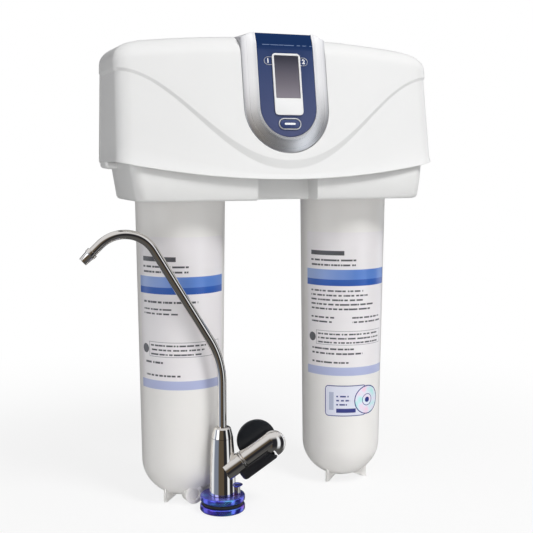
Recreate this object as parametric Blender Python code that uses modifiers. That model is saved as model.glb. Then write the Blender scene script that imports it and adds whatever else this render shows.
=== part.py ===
"""An under sink water filter: a wide head with a display and two quick change
cartridges, and the slim drinking water tap that is supplied with it.

The head has a back plate that screws to a wall, a tray below and a wave fronted
cover above. Two cartridges hang from bayonet sockets in the head. The tap has a
swinging spout and a quarter turn lever on a slanted branch.
"""
import math

import bmesh
import bpy
from mathutils import Matrix, Vector

# Fits that every piece shares
SEAT_GAP = 0.0003
RUN_GAP = 0.0005
OVERCUT = 0.004
WELD_DISTANCE = 0.000001
MERGE_DISTANCE = 0.00001

# How finely round shapes are divided
ROUND_SIDES = 32
MEDIUM_SIDES = 24
SMALL_SIDES = 20
TINY_SIDES = 12

# Cartridges: two turned canisters with a domed foot, a cap and a filter block
CARTRIDGE_SPACING = 0.1628
CARTRIDGE_TOP_RADIUS = 0.0410
CARTRIDGE_LOW_RADIUS = 0.0376
CARTRIDGE_WALL = 0.0025
CARTRIDGE_TOP = 0.2960
DOME_SHOULDER = 0.0380
DOME_BOTTOM = 0.0029
DOME_RINGS = 6
FIN_ANGLES = (-146.0, -26.0, 94.0)
FIN_TIP_RADIUS = 0.0260
FIN_INNER_RADIUS = 0.0070
FIN_FLAT = 0.0035
FIN_THICKNESS = 0.0022
FIN_STEPS = 5
BOSS_RADIUS = 0.0090
BOSS_RECESS_RADIUS = 0.0053
BOSS_RECESS_DEPTH = 0.0022
BOSS_REACH = 0.0290
BOSS_ROOT = 0.0190
BOSS_LIFT = 0.0004
BOSS_TURN = -84.0

# Cartridge caps, necks and seals
CAP_FLANGE = 0.0040
CAP_PLUG_DEPTH = 0.0080
NECK_RADIUS = 0.0170
NECK_HEIGHT = 0.0520
NECK_BORE_RADIUS = 0.0060
LUG_REACH = 0.0242
LUG_WIDTH = 0.0090
LUG_HEIGHT = 0.0060
LUG_LIFT = 0.0160
SEAL_RADIUS = 0.0009
SEAL_GROOVE_DEPTH = 0.0018
SEAL_GROOVE_HEIGHT = 0.0026
LOW_SEAL_LIFT = 0.0300
HIGH_SEAL_LIFT = 0.0430
PLUG_RADIUS = 0.0092
PLUG_HEIGHT = 0.0120
PLUG_PORT_RADIUS = 0.0030

# Filter blocks inside the cartridges
BLOCK_RADIUS = 0.0330
BLOCK_BORE_RADIUS = 0.0080
BLOCK_BOTTOM = 0.0450
BLOCK_TOP = 0.2780
BLOCK_CAP_THICKNESS = 0.0037
SPIGOT_RADIUS = 0.0056
SPIGOT_BORE_RADIUS = 0.0040
SPIGOT_LENGTH = 0.0140

# Manifolds: the sockets that the cartridges lock into
MANIFOLD_RADIUS = 0.0290
MANIFOLD_LIFT = 0.0083
MANIFOLD_ROOF = 0.0040
LIP_BORE_RADIUS = 0.0198
GROOVE_RADIUS = 0.0254
SLOT_MARGIN = 0.0010
ARM_WIDTH = 0.0200
ARM_FRONT = 0.0265
ARM_LIFT = 0.0052
ARM_HEIGHT = 0.0462
PORT_BOSS_RADIUS = 0.0085
PORT_BOSS_REACH = 0.0380
PORT_BOSS_ROOT = 0.0270

# Pipes, the flow sensor and the push in connectors
PIPE_RADIUS = 0.00475
PIPE_BORE_RADIUS = 0.0032
PIPE_PLUG_DEPTH = 0.0075
CONNECTOR_WEB = 0.0025
FEED_Y = 0.0115
FEED_BEND = 0.0120
FEED_STEPS = 7
CONNECTOR_RADIUS = 0.0095
CONNECTOR_LIFT = 0.0042
CONNECTOR_LENGTH = 0.0288
COLLET_WALL = 0.0012
COLLET_RADIUS = 0.0070
COLLET_LENGTH = 0.0035
SENSOR_LENGTH = 0.0340
SENSOR_RADIUS = 0.0120
SENSOR_BORE_RADIUS = 0.0085
SENSOR_PORT_LENGTH = 0.0090
SENSOR_PORT_WALL = 0.0024
ROTOR_RADIUS = 0.0078
ROTOR_HUB_RADIUS = 0.0026
ROTOR_LENGTH = 0.0090
ROTOR_BLADES = 4
ROTOR_BLADE_THICKNESS = 0.0010

# Head cover: wide, bowed and slanted back, with a wave across its front
COVER_HALF_WIDTH = 0.1511
COVER_FRONT = 0.0698
COVER_REAR = 0.0240
COVER_WALL = 0.0024
COVER_LIFT = 0.0008
COVER_HEIGHT = 0.1255
FRONT_SLANT = math.radians(10.3)
SIDE_DRAFT = 0.0030
BOW_DEPTH = 0.0095
CORNER_RADIUS = 0.0160
CORNER_STEPS = 5
SIDE_STEPS = 3
FRONT_STEPS = 26
EDGE_RISE = 0.0150
CROWN_DROP = 0.0080
ROUND_HEIGHT = 0.0170
ROUND_INSET = 0.0240
ROUND_CORNER = 0.0050
ROUND_STEPS = 5
WAVE_END_LIFT = 0.0922
WAVE_DEPTH = 0.0795
WAVE_POWER = 1.08
BAND_MIDDLE = 0.0090
BAND_END = 0.0034
BAND_DEPTH_SHARE = 0.36
EDGE_LIP = 0.0007
EDGE_LIP_HEIGHT = 0.0018
UPPER_ROW_SHARE = 0.4

# Back plate: a shallow pan that closes the head and screws to the wall
PLATE_REAR = 0.0500
PLATE_WALL = 0.0028
PLATE_LIFT = 0.0080
PLATE_EDGE_ROUND = 0.0050
PLATE_TAPER = 0.0075
PLATE_CORNER = 0.0090
PLATE_CORNER_STEPS = 4
EDGE_START_SHARE = 0.3
EDGE_MIDDLE_SHARE = 0.6
EDGE_END_SHARE = 0.9
EDGE_FOOT_SHARE = 1.1
KEYHOLE_X = 0.1200
KEYHOLE_LIFT = 0.0512
KEYHOLE_RADIUS = 0.0052
KEYHOLE_SLOT_RADIUS = 0.0026
KEYHOLE_SLOT_LENGTH = 0.0110
SCREW_LOW_LIFT = 0.0062
SCREW_SPACING = 0.0320
SCREW_HEAD_RADIUS = 0.0036
SCREW_HEAD_HEIGHT = 0.0016
SCREW_RADIUS = 0.0017
SCREW_LENGTH = 0.0130

# Tray: the lower half of the head, with a hole for each cartridge
TRAY_END_WEB = 0.0167
TRAY_TAPER = 0.0062
TRAY_DROP = 0.0188
TRAY_HEIGHT = 0.0380
TRAY_FRONT = 0.0610
TRAY_BOW = 0.0035
TRAY_WALL = 0.0025
TRAY_CORNER = 0.0100
TRAY_CORNER_STEPS = 4
TRAY_FRONT_STEPS = 6
TRAY_EDGE_ROUND = 0.0030
TRAY_EDGE_SHARE = 0.3
TRAY_STRAIGHT = 0.0180
RECESS_WEB = 0.0106
RECESS_DEPTH = 0.0205
CARTRIDGE_CLEARANCE = 0.0014

# Display pod: a silver U that holds a blue panel, a small window and a button
POD_LIFT = 0.0612
POD_SINK = 0.0033
POD_OUTER_RADIUS = 0.0397
POD_INNER_RADIUS = 0.0265
POD_PROUD = 0.0070
POD_EDGE_PROUD = 0.0035
POD_RIM = 0.0014
POD_ROLL_SHARE = 0.44
POD_ROLL_PROUD = 0.00035
POD_ARC_STEPS = 18
POD_FACE_LOW = 0.0480
POD_CREASE = 0.0548
POD_BEND = math.radians(14.0)
POD_BEND_LENGTH = 0.0117
POD_ROOF_LENGTH = 0.0315
POD_ROOF_DEPTH = 0.0125
POD_RIM_DEPTH = 0.0100
POD_LEG_KNEE = 0.0400
SHOULDER_DROP = 0.0056
SHOULDER_REAR_DROP = 0.0026
SHOULDER_MIDDLE_SHARE = 0.40
PANEL_RECESS = 0.0005
PANEL_THICKNESS = 0.0020
WINDOW_HALF_WIDTH = 0.0132
WINDOW_LOW = -0.0073
WINDOW_HIGH = 0.0471
WINDOW_CORNER = 0.0032
WINDOW_THICKNESS = 0.0012
GLASS_HALF_WIDTH = 0.0112
GLASS_LOW = 0.0079
GLASS_HIGH = 0.0450
GLASS_CORNER = 0.0006
DISPLAY_MARGIN = 0.0020
BUTTON_HEIGHT = -0.0150
BUTTON_HALF_WIDTH = 0.0092
BUTTON_RADIUS = 0.0037
BUTTON_RING = 0.0009
BUTTON_RING_PROUD = 0.0006
BUTTON_PROUD = 0.0010
BUTTON_FLANGE = 0.0012
BUTTON_FLANGE_THICKNESS = 0.0010
BUTTON_TRAVEL = 0.0012
SWITCH_RADIUS = 0.0030
BOARD_FRONT = 0.0021
BOARD_THICKNESS = 0.0016
BOARD_HALF_WIDTH = 0.0235
BOARD_HIGH = 0.0500
CARRIER_THICKNESS = 0.0020
BATTERY_RADIUS = 0.00725
BATTERY_LENGTH = 0.0500
BATTERY_NUB_RADIUS = 0.0027
BATTERY_NUB_HEIGHT = 0.0010
BATTERY_WALL = 0.0015
BATTERY_BOTTOM = -0.0120

# Tap: a slim column with a slanted branch on a round base
TAP_X = -0.0583
TAP_Y = -0.0490
TAP_TURN = math.radians(-5.0)
TAP_BORE_RADIUS = 0.0043
BASE_RADIUS = 0.02025
BASE_LOWER_HEIGHT = 0.00575
BASE_SEAL_HEIGHT = 0.0025
BASE_UPPER_HEIGHT = 0.00555
BASE_SEAL_INSET = 0.00125
BASE_ROUND = 0.00155
COLUMN_FOOT_RADIUS = 0.0119
COLUMN_WAIST_RADIUS = 0.0114
COLUMN_NECK_RADIUS = 0.0098
COLUMN_WAIST = 0.0384
COLUMN_SHOULDER = 0.0528
COLUMN_SHOULDER_RADIUS = 0.01075
COLUMN_TOP = 0.06625
NUT_TOP = 0.0763
NUT_TOP_RADIUS = 0.00805
NUT_ROUND = 0.0025
BRANCH_HEIGHT = 0.0355
BRANCH_RISE = math.radians(32.5)
BRANCH_RADIUS = 0.00845
BRANCH_SIDES = 10
BRANCH_END = 0.0186
BRANCH_START = 0.0018
BRANCH_OFFSET = 0.0065
BRANCH_BORE_START = 0.0034
BONNET_RADIUS = 0.00805
BONNET_LENGTH = 0.00175
BONNET_ROUND = 0.0006
STEM_RADIUS = 0.0032
STEM_START = 0.0067
STEM_REACH = 0.0115
BRANCH_BORE_RADIUS = 0.00385

# Tap spout: an 8 mm tube, up, over and down to a small nozzle
TUBE_RADIUS = 0.0040
TUBE_START = 0.05375
TUBE_STRAIGHT_TOP = 0.1160
TUBE_LEAN = math.radians(31.0)
TUBE_END_LEAN = math.radians(134.0)
TUBE_LOW_BEND = 0.07775
TUBE_SLANT_LENGTH = 0.0932
TUBE_HIGH_BEND = 0.02975
TUBE_TAIL = 0.0144
TUBE_LOW_STEPS = 5
TUBE_HIGH_STEPS = 10
TUBE_BORE_RADIUS = 0.003
TUBE_BORE_DEPTH = 0.0077
NOZZLE_RADIUS = 0.0051
NOZZLE_TIP_RADIUS = 0.00385
NOZZLE_LENGTH = 0.012
NOZZLE_BAND_LENGTH = 0.00345
NOZZLE_STEP_LENGTH = 0.00105
NOZZLE_CUP = 0.00575
TUBE_SEAL_RADIUS = 0.0007
TUBE_SEAL_HEIGHT = 0.07345

# Tap lever: a chrome handle with a black grip below and a round black paddle behind
HANDLE_RADIUS = 0.0078
HANDLE_LENGTH = 0.0294
HANDLE_END_RADIUS = 0.0122
HANDLE_END_THICKNESS = 0.01575
HANDLE_END_DROP = 0.0044
HANDLE_SOCKET_DEPTH = 0.0123
GRIP_START = 0.01135
GRIP_LENGTH = 0.03745
GRIP_BOTTOM = 0.0165
GRIP_THICKNESS = 0.01345
GRIP_ROUND = 0.00325
PADDLE_RADIUS = 0.01815
PADDLE_THICKNESS = 0.00385
PADDLE_ROUND = 0.00115
PADDLE_ALONG = 0.0413
PADDLE_ACROSS = 0.0042
PADDLE_SCREW_RADIUS = 0.00155
PADDLE_SCREW_HEAD_RADIUS = 0.00305
PADDLE_SCREW_HEAD_HEIGHT = 0.00175
PADDLE_SCREW_DEPTH = 0.00575

# Worked out from the sizes above
HALF_SPACING = CARTRIDGE_SPACING / 2
COVER_LOW = CARTRIDGE_TOP + COVER_LIFT
COVER_HIGH = COVER_LOW + COVER_HEIGHT
WAVE_END = COVER_LOW + WAVE_END_LIFT
PLATE_LOW = COVER_LOW + PLATE_LIFT
KEYHOLE_Z = PLATE_LOW + KEYHOLE_LIFT
TRAY_BOTTOM = COVER_LOW - TRAY_DROP
TRAY_TOP = TRAY_BOTTOM + TRAY_HEIGHT
TRAY_HOLE_RADIUS = CARTRIDGE_TOP_RADIUS + CARTRIDGE_CLEARANCE
TRAY_HALF_WIDTH = HALF_SPACING + TRAY_HOLE_RADIUS + TRAY_END_WEB
RECESS_HALF_WIDTH = HALF_SPACING - TRAY_HOLE_RADIUS - RECESS_WEB
CONNECTOR_BOTTOM = TRAY_BOTTOM + CONNECTOR_LIFT
CONNECTOR_TOP = CONNECTOR_BOTTOM + CONNECTOR_LENGTH
FEED_X = HALF_SPACING - TRAY_HOLE_RADIUS - CONNECTOR_WEB - CONNECTOR_RADIUS
POD_HEIGHT = COVER_LOW + POD_LIFT
SKIN_REAR = COVER_REAR + OVERCUT / 2
DOME_HEIGHT = DOME_SHOULDER - DOME_BOTTOM
DOME_HOLLOW_HEIGHT = DOME_HEIGHT - CARTRIDGE_WALL
WALL_TAPER = (CARTRIDGE_TOP_RADIUS - CARTRIDGE_LOW_RADIUS) / (CARTRIDGE_TOP - DOME_SHOULDER)
CAP_BOTTOM = CARTRIDGE_TOP + SEAT_GAP
CAP_TOP = CAP_BOTTOM + CAP_FLANGE
NECK_TOP = CAP_TOP + NECK_HEIGHT
LUG_BOTTOM = CAP_TOP + LUG_LIFT
LUG_TOP = LUG_BOTTOM + LUG_HEIGHT
PLUG_BOTTOM = NECK_TOP + SEAT_GAP
PLUG_TOP = PLUG_BOTTOM + PLUG_HEIGHT
CROSS_HEIGHT = CAP_TOP + (LOW_SEAL_LIFT + HIGH_SEAL_LIFT) / 2
FEED_HEIGHT = PLUG_BOTTOM + PLUG_HEIGHT / 2
MANIFOLD_BOTTOM = CAP_TOP + MANIFOLD_LIFT
MANIFOLD_TOP = PLUG_TOP + SEAT_GAP + MANIFOLD_ROOF
ARM_BOTTOM = MANIFOLD_BOTTOM + ARM_LIFT
ARM_TOP = ARM_BOTTOM + ARM_HEIGHT
SCREW_HEIGHTS = (ARM_BOTTOM + SCREW_LOW_LIFT, ARM_BOTTOM + SCREW_LOW_LIFT + SCREW_SPACING)
ARM_REAR = PLATE_REAR - PLATE_WALL - SEAT_GAP
POD_FRONT = -COVER_FRONT + POD_SINK + math.tan(FRONT_SLANT) * (POD_HEIGHT - COVER_LOW)
PANEL_FRONT = -POD_PROUD + PANEL_RECESS
PANEL_BACK = PANEL_FRONT + PANEL_THICKNESS
CARRIER_FRONT = BOARD_FRONT + BOARD_THICKNESS + SEAT_GAP
CARRIER_BACK = CARRIER_FRONT + CARRIER_THICKNESS
BATTERY_PITCH = 2 * BATTERY_RADIUS + BATTERY_WALL
BASE_SEAL_BOTTOM = BASE_LOWER_HEIGHT + SEAT_GAP
BASE_UPPER_BOTTOM = BASE_SEAL_BOTTOM + BASE_SEAL_HEIGHT + SEAT_GAP
BASE_TOP = BASE_UPPER_BOTTOM + BASE_UPPER_HEIGHT
COLUMN_BOTTOM = BASE_TOP + SEAT_GAP
BONNET_START = BRANCH_END + SEAT_GAP
BONNET_END = BONNET_START + BONNET_LENGTH
HANDLE_START = BONNET_END + RUN_GAP
HANDLE_END = HANDLE_START + HANDLE_LENGTH

WHITE = (0.88, 0.88, 0.87)
CANISTER = (0.87, 0.86, 0.83)
LIGHT_GREY = (0.78, 0.78, 0.77)
BLACK = (0.02, 0.02, 0.022)
SILVER = (0.74, 0.75, 0.77)
NAVY = (0.030, 0.060, 0.200)
STEEL = (0.62, 0.61, 0.60)

parts = None
cutters = None
finishes = {}


def clear_scene():
    """Remove whatever the file holds, so that the model starts alone."""
    for item in list(bpy.data.objects):
        bpy.data.objects.remove(item, do_unlink=True)


def finish(name, colour, roughness, metallic=0.0):
    """Return the material of this name, made once."""
    if name not in finishes:
        material = bpy.data.materials.new(name)
        material.use_nodes = True
        shader = material.node_tree.nodes["Principled BSDF"]
        shader.inputs["Base Color"].default_value = (*colour, 1.0)
        shader.inputs["Roughness"].default_value = roughness
        shader.inputs["Metallic"].default_value = metallic
        material.diffuse_color = (*colour, 1.0)
        finishes[name] = material
    return finishes[name]


def frame(name, parent=None, location=(0, 0, 0), rotation=(0, 0, 0)):
    """Add an empty that other pieces are placed by."""
    empty = bpy.data.objects.new(name, None)
    parts.objects.link(empty)
    empty.parent = parent
    empty.location = location
    empty.rotation_euler = rotation
    return empty


def place(name, mesh, surface, parent, location=(0, 0, 0), rotation=(0, 0, 0)):
    """Add one piece of the filter."""
    piece = bpy.data.objects.new(name, mesh)
    parts.objects.link(piece)
    piece.parent = parent
    piece.location = location
    piece.rotation_euler = rotation
    if mesh.materials:
        mesh.materials[0] = surface
    else:
        mesh.materials.append(surface)
    return piece


def place_cutter(name, mesh, parent, location=(0, 0, 0), rotation=(0, 0, 0)):
    """Add a shape that is only used to cut or extend a piece."""
    cutter = bpy.data.objects.new(name, mesh)
    cutters.objects.link(cutter)
    cutter.parent = parent
    cutter.location = location
    cutter.rotation_euler = rotation
    cutter.hide_render = True
    cutter.display_type = "WIRE"
    return cutter


def combine(piece, tool, operation="DIFFERENCE"):
    """Cut a piece with a tool, join the tool to it, or keep what they share."""
    change = piece.modifiers.new(tool.name, "BOOLEAN")
    change.operation = operation
    change.solver = "EXACT"
    change.object = tool


def crisp(mesh):
    """Shade round faces smooth and keep real edges sharp."""
    mesh.shade_smooth()
    mesh.set_sharp_from_angle(angle=math.radians(32))
    return mesh


def bevel(piece, width, segments=2, angle=40.0):
    """Round the edges of a piece that are sharper than an angle."""
    edge = piece.modifiers.new("edge", "BEVEL")
    edge.width = width
    edge.segments = segments
    edge.limit_method = "ANGLE"
    edge.angle_limit = math.radians(angle)


def block(low, high, name="block"):
    """Return a box between two corners."""
    size = [b - a for a, b in zip(low, high)]
    centre = [(a + b) / 2 for a, b in zip(low, high)]
    form = bmesh.new()
    bmesh.ops.create_cube(form, size=1.0)
    bmesh.ops.scale(form, vec=size, verts=form.verts)
    bmesh.ops.translate(form, vec=centre, verts=form.verts)
    mesh = bpy.data.meshes.new(name)
    form.to_mesh(mesh)
    form.free()
    return mesh


def rod(radius, start, end, sides=SMALL_SIDES, name="rod", end_radius=None):
    """Return a round bar along Z from start to end, tapered if two radii are given."""
    form = bmesh.new()
    bmesh.ops.create_cone(
        form,
        cap_ends=True,
        segments=sides,
        radius1=radius,
        radius2=radius if end_radius is None else end_radius,
        depth=end - start,
    )
    bmesh.ops.translate(form, vec=(0, 0, (start + end) / 2), verts=form.verts)
    mesh = bpy.data.meshes.new(name)
    form.to_mesh(mesh)
    form.free()
    return crisp(mesh)


def turned(profile, closed=False, name="turned"):
    """Return the outline of a turned piece, which runs down its outer side."""
    count = len(profile)
    edges = [(i, i + 1) for i in range(count - 1)]
    if closed:
        edges.append((count - 1, 0))
    mesh = bpy.data.meshes.new(name)
    mesh.from_pydata([(radius, 0, height) for radius, height in profile], edges, [])
    return mesh


def turn(piece, sides=ROUND_SIDES):
    """Spin a turned outline once round the piece's own Z axis."""
    spin = piece.modifiers.new("turn", "SCREW")
    spin.axis = "Z"
    spin.angle = math.tau
    spin.steps = sides
    spin.render_steps = sides
    spin.use_merge_vertices = True
    spin.merge_threshold = MERGE_DISTANCE
    spin.use_smooth_shade = True
    return piece


def curve_mesh(curve, name):
    """Turn a curve into a closed mesh with welded caps, and drop the curve."""
    holder = bpy.data.objects.new(name, curve)
    parts.objects.link(holder)
    graph = bpy.context.evaluated_depsgraph_get()
    mesh = bpy.data.meshes.new_from_object(holder.evaluated_get(graph))
    bpy.data.objects.remove(holder, do_unlink=True)
    form = bmesh.new()
    form.from_mesh(mesh)
    bmesh.ops.remove_doubles(form, verts=form.verts, dist=WELD_DISTANCE)
    bmesh.ops.recalc_face_normals(form, faces=form.faces)
    form.to_mesh(mesh)
    form.free()
    mesh.name = name
    return crisp(mesh)


def slab(outline, thickness, name="slab"):
    """Return a flat outline in X and Y with half its thickness on each side."""
    curve = bpy.data.curves.new(name, "CURVE")
    curve.dimensions = "2D"
    curve.fill_mode = "BOTH"
    curve.extrude = thickness / 2
    spline = curve.splines.new("POLY")
    spline.points.add(len(outline) - 1)
    for point, (x, y) in zip(spline.points, outline):
        point.co = (x, y, 0, 1)
    spline.use_cyclic_u = True
    return curve_mesh(curve, name)


def tube(points, radius, name="tube"):
    """Return a round bar along a list of points."""
    curve = bpy.data.curves.new(name, "CURVE")
    curve.dimensions = "3D"
    curve.bevel_depth = radius
    curve.bevel_resolution = 2
    curve.use_fill_caps = True
    spline = curve.splines.new("POLY")
    spline.points.add(len(points) - 1)
    for point, place_at in zip(spline.points, points):
        point.co = (*place_at, 1)
    return curve_mesh(curve, name)


def loft(rings, name="loft"):
    """Join rings of equal length into one closed skin with a cap at each end."""
    form = bmesh.new()
    rows = [[form.verts.new(point) for point in ring] for ring in rings]
    count = len(rows[0])
    for low, high in zip(rows, rows[1:]):
        for i in range(count):
            j = (i + 1) % count
            form.faces.new((low[i], low[j], high[j], high[i]))
    form.faces.new(tuple(reversed(rows[0])))
    form.faces.new(tuple(rows[-1]))
    bmesh.ops.recalc_face_normals(form, faces=form.faces)
    mesh = bpy.data.meshes.new(name)
    form.to_mesh(mesh)
    form.free()
    return crisp(mesh)


def arc(centre, radius, start, end, steps):
    """Return points along an arc in a plane, with angles in degrees."""
    points = []
    for i in range(steps + 1):
        angle = math.radians(start + (end - start) * i / steps)
        points.append((centre[0] + radius * math.cos(angle), centre[1] + radius * math.sin(angle)))
    return points


def rounded_box(half_width, low, high, radius, steps=4):
    """Return the outline of a rectangle with round corners."""
    x = half_width - radius
    outline = arc((x, high - radius), radius, 0, 90, steps)
    outline += arc((-x, high - radius), radius, 90, 180, steps)
    outline += arc((-x, low + radius), radius, 180, 270, steps)
    outline += arc((x, low + radius), radius, 270, 360, steps)
    return outline


def pill(half_width, radius, height, steps=8):
    """Return the outline of a bar with fully round ends."""
    x = half_width - radius
    return arc((x, height), radius, -90, 90, steps) + arc((-x, height), radius, 90, 270, steps)


def cartridge_radius(height):
    """The radius of the canister's straight wall, which tapers towards its foot."""
    return CARTRIDGE_LOW_RADIUS + WALL_TAPER * (height - DOME_SHOULDER)


def dome_height(radius, wall_radius, depth):
    """The height of a dome's surface at a distance from its axis."""
    share = min(radius / wall_radius, 1.0)
    return DOME_SHOULDER - depth * math.sqrt(1 - share * share)


def shell_profile():
    """Inside up from the foot, over the rim, then down the outside to the foot."""
    inner_low = CARTRIDGE_LOW_RADIUS - CARTRIDGE_WALL
    inside = []
    outside = []
    for i in range(DOME_RINGS + 1):
        angle = math.pi / 2 * i / DOME_RINGS
        across = math.sin(angle)
        down = math.cos(angle)
        inside.append((inner_low * across, DOME_SHOULDER - DOME_HOLLOW_HEIGHT * down))
        outside.append((CARTRIDGE_LOW_RADIUS * across, DOME_SHOULDER - DOME_HEIGHT * down))
    rim = [
        (CARTRIDGE_TOP_RADIUS - CARTRIDGE_WALL, CARTRIDGE_TOP),
        (CARTRIDGE_TOP_RADIUS, CARTRIDGE_TOP),
    ]
    return inside + rim + list(reversed(outside))


def fin_outline():
    """A triangle that stands on the floor and runs up into the wall of the dome."""
    middle_radius = CARTRIDGE_LOW_RADIUS - CARTRIDGE_WALL / 2
    middle_depth = DOME_HEIGHT - CARTRIDGE_WALL / 2
    outline = [(FIN_TIP_RADIUS - FIN_FLAT, 0), (FIN_TIP_RADIUS, 0)]
    for i in range(FIN_STEPS + 1):
        radius = FIN_TIP_RADIUS + (FIN_INNER_RADIUS - FIN_TIP_RADIUS) * i / FIN_STEPS
        outline.append((radius, dome_height(radius, middle_radius, middle_depth)))
    return outline


def make_cartridge_shell(side, axis, with_boss):
    """The white canister, with three fins below and, on the left one, a round boss."""
    surface = finish("canister_white", CANISTER, 0.42)
    shell = turn(place(side + "_cartridge_shell", turned(shell_profile()), surface, axis))
    for index, angle in enumerate(FIN_ANGLES):
        fin = place_cutter(
            "{}_fin_{}".format(side, index + 1),
            slab(fin_outline(), FIN_THICKNESS),
            axis,
            rotation=(math.pi / 2, 0, math.radians(angle)),
        )
        combine(shell, fin, "UNION")
    if with_boss:
        turn_z = math.radians(BOSS_TURN) + math.pi / 2
        height = BOSS_RADIUS + BOSS_LIFT
        boss = place_cutter(
            side + "_boss",
            rod(BOSS_RADIUS, BOSS_ROOT, BOSS_REACH),
            axis,
            location=(0, 0, height),
            rotation=(math.pi / 2, 0, turn_z),
        )
        combine(shell, boss, "UNION")
        recess = place_cutter(
            side + "_boss_recess",
            rod(BOSS_RECESS_RADIUS, BOSS_REACH - BOSS_RECESS_DEPTH, BOSS_REACH + OVERCUT),
            axis,
            location=(0, 0, height),
            rotation=(math.pi / 2, 0, turn_z),
        )
        combine(shell, recess)


def cap_profile():
    """The cap that closes a canister: a plug, a flange and a neck with two seal grooves."""
    groove = NECK_RADIUS - SEAL_GROOVE_DEPTH
    points = [(NECK_RADIUS, NECK_TOP)]
    for lift in (HIGH_SEAL_LIFT, LOW_SEAL_LIFT):
        top = CAP_TOP + lift + SEAL_GROOVE_HEIGHT / 2
        bottom = CAP_TOP + lift - SEAL_GROOVE_HEIGHT / 2
        points += [(NECK_RADIUS, top), (groove, top), (groove, bottom), (NECK_RADIUS, bottom)]
    plug_radius = cartridge_radius(CARTRIDGE_TOP - CAP_PLUG_DEPTH) - CARTRIDGE_WALL - 2 * SEAT_GAP
    points += [
        (NECK_RADIUS, CAP_TOP),
        (CARTRIDGE_TOP_RADIUS, CAP_TOP),
        (CARTRIDGE_TOP_RADIUS, CAP_BOTTOM),
        (plug_radius, CAP_BOTTOM),
        (plug_radius, CARTRIDGE_TOP - CAP_PLUG_DEPTH),
        (NECK_BORE_RADIUS, CARTRIDGE_TOP - CAP_PLUG_DEPTH),
        (NECK_BORE_RADIUS, NECK_TOP),
    ]
    return points


def make_cartridge_cap(side, axis):
    """The cap with its two bayonet lugs."""
    surface = finish("cap_white", WHITE, 0.45)
    cap = place(side + "_cartridge_cap", turned(cap_profile(), closed=True), surface, axis)
    turn(cap, MEDIUM_SIDES)
    root_at = (NECK_BORE_RADIUS + NECK_RADIUS) / 2
    for index, (near, far) in enumerate(((-LUG_REACH, -root_at), (root_at, LUG_REACH))):
        lug = place_cutter(
            "{}_lug_{}".format(side, index + 1),
            block((near, -LUG_WIDTH / 2, LUG_BOTTOM), (far, LUG_WIDTH / 2, LUG_TOP)),
            axis,
        )
        combine(cap, lug, "UNION")


def make_ring_seal(name, radius, height, thickness, axis, sides=SMALL_SIDES):
    """A rubber ring round a neck or a tube."""
    section = arc((radius, height), thickness, 90, -210, 5)
    seal = place(name, turned(section, closed=True), finish("seal_rubber", BLACK, 0.6), axis)
    turn(seal, sides)


def make_filter_block(side, axis, colour):
    """The block that filters the water, with a blind bore and a disc glued on top."""
    inner = BLOCK_BORE_RADIUS
    floor = BLOCK_BOTTOM + BLOCK_CAP_THICKNESS
    core = [
        (0, floor),
        (inner, floor),
        (inner, BLOCK_TOP),
        (BLOCK_RADIUS, BLOCK_TOP),
        (BLOCK_RADIUS, BLOCK_BOTTOM),
        (0, BLOCK_BOTTOM),
    ]
    media = place(side + "_filter_block", turned(core), finish(side + "_media", colour, 0.9), axis)
    turn(media, SMALL_SIDES)
    disc = finish("disc_plastic", LIGHT_GREY, 0.5)
    top = BLOCK_TOP + SEAT_GAP + BLOCK_CAP_THICKNESS
    upper = [
        (SPIGOT_RADIUS, top + SPIGOT_LENGTH),
        (SPIGOT_RADIUS, top),
        (BLOCK_RADIUS, top),
        (BLOCK_RADIUS, BLOCK_TOP + SEAT_GAP),
        (SPIGOT_BORE_RADIUS, BLOCK_TOP + SEAT_GAP),
        (SPIGOT_BORE_RADIUS, top + SPIGOT_LENGTH),
    ]
    turn(place(side + "_block_top_disc", turned(upper, closed=True), disc, axis), SMALL_SIDES)


def make_valve_plug(side, axis):
    """The plug above the neck, which shuts the water off when the cartridge turns."""
    plug = place(
        side + "_valve_plug",
        rod(PLUG_RADIUS, PLUG_BOTTOM, PLUG_TOP),
        finish("valve_plastic", LIGHT_GREY, 0.4),
        axis,
    )
    port = place_cutter(
        side + "_plug_port",
        rod(PLUG_PORT_RADIUS, -PLUG_RADIUS - OVERCUT, PLUG_RADIUS + OVERCUT, TINY_SIDES),
        axis,
        location=(0, 0, FEED_HEIGHT),
        rotation=(0, math.pi / 2, 0),
    )
    combine(plug, port)


def make_cartridge(side, x, with_boss, media_colour, root):
    """Everything that turns with one cartridge, placed on the cartridge's axis."""
    axis = frame(side + "_cartridge_axis", root, location=(x, 0, 0))
    make_cartridge_shell(side, axis, with_boss)
    make_cartridge_cap(side, axis)
    seal_radius = NECK_RADIUS + RUN_GAP - SEAL_RADIUS
    make_ring_seal(side + "_lower_seal", seal_radius, CAP_TOP + LOW_SEAL_LIFT, SEAL_RADIUS, axis)
    make_ring_seal(side + "_upper_seal", seal_radius, CAP_TOP + HIGH_SEAL_LIFT, SEAL_RADIUS, axis)
    make_filter_block(side, axis, media_colour)
    make_valve_plug(side, axis)


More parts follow.
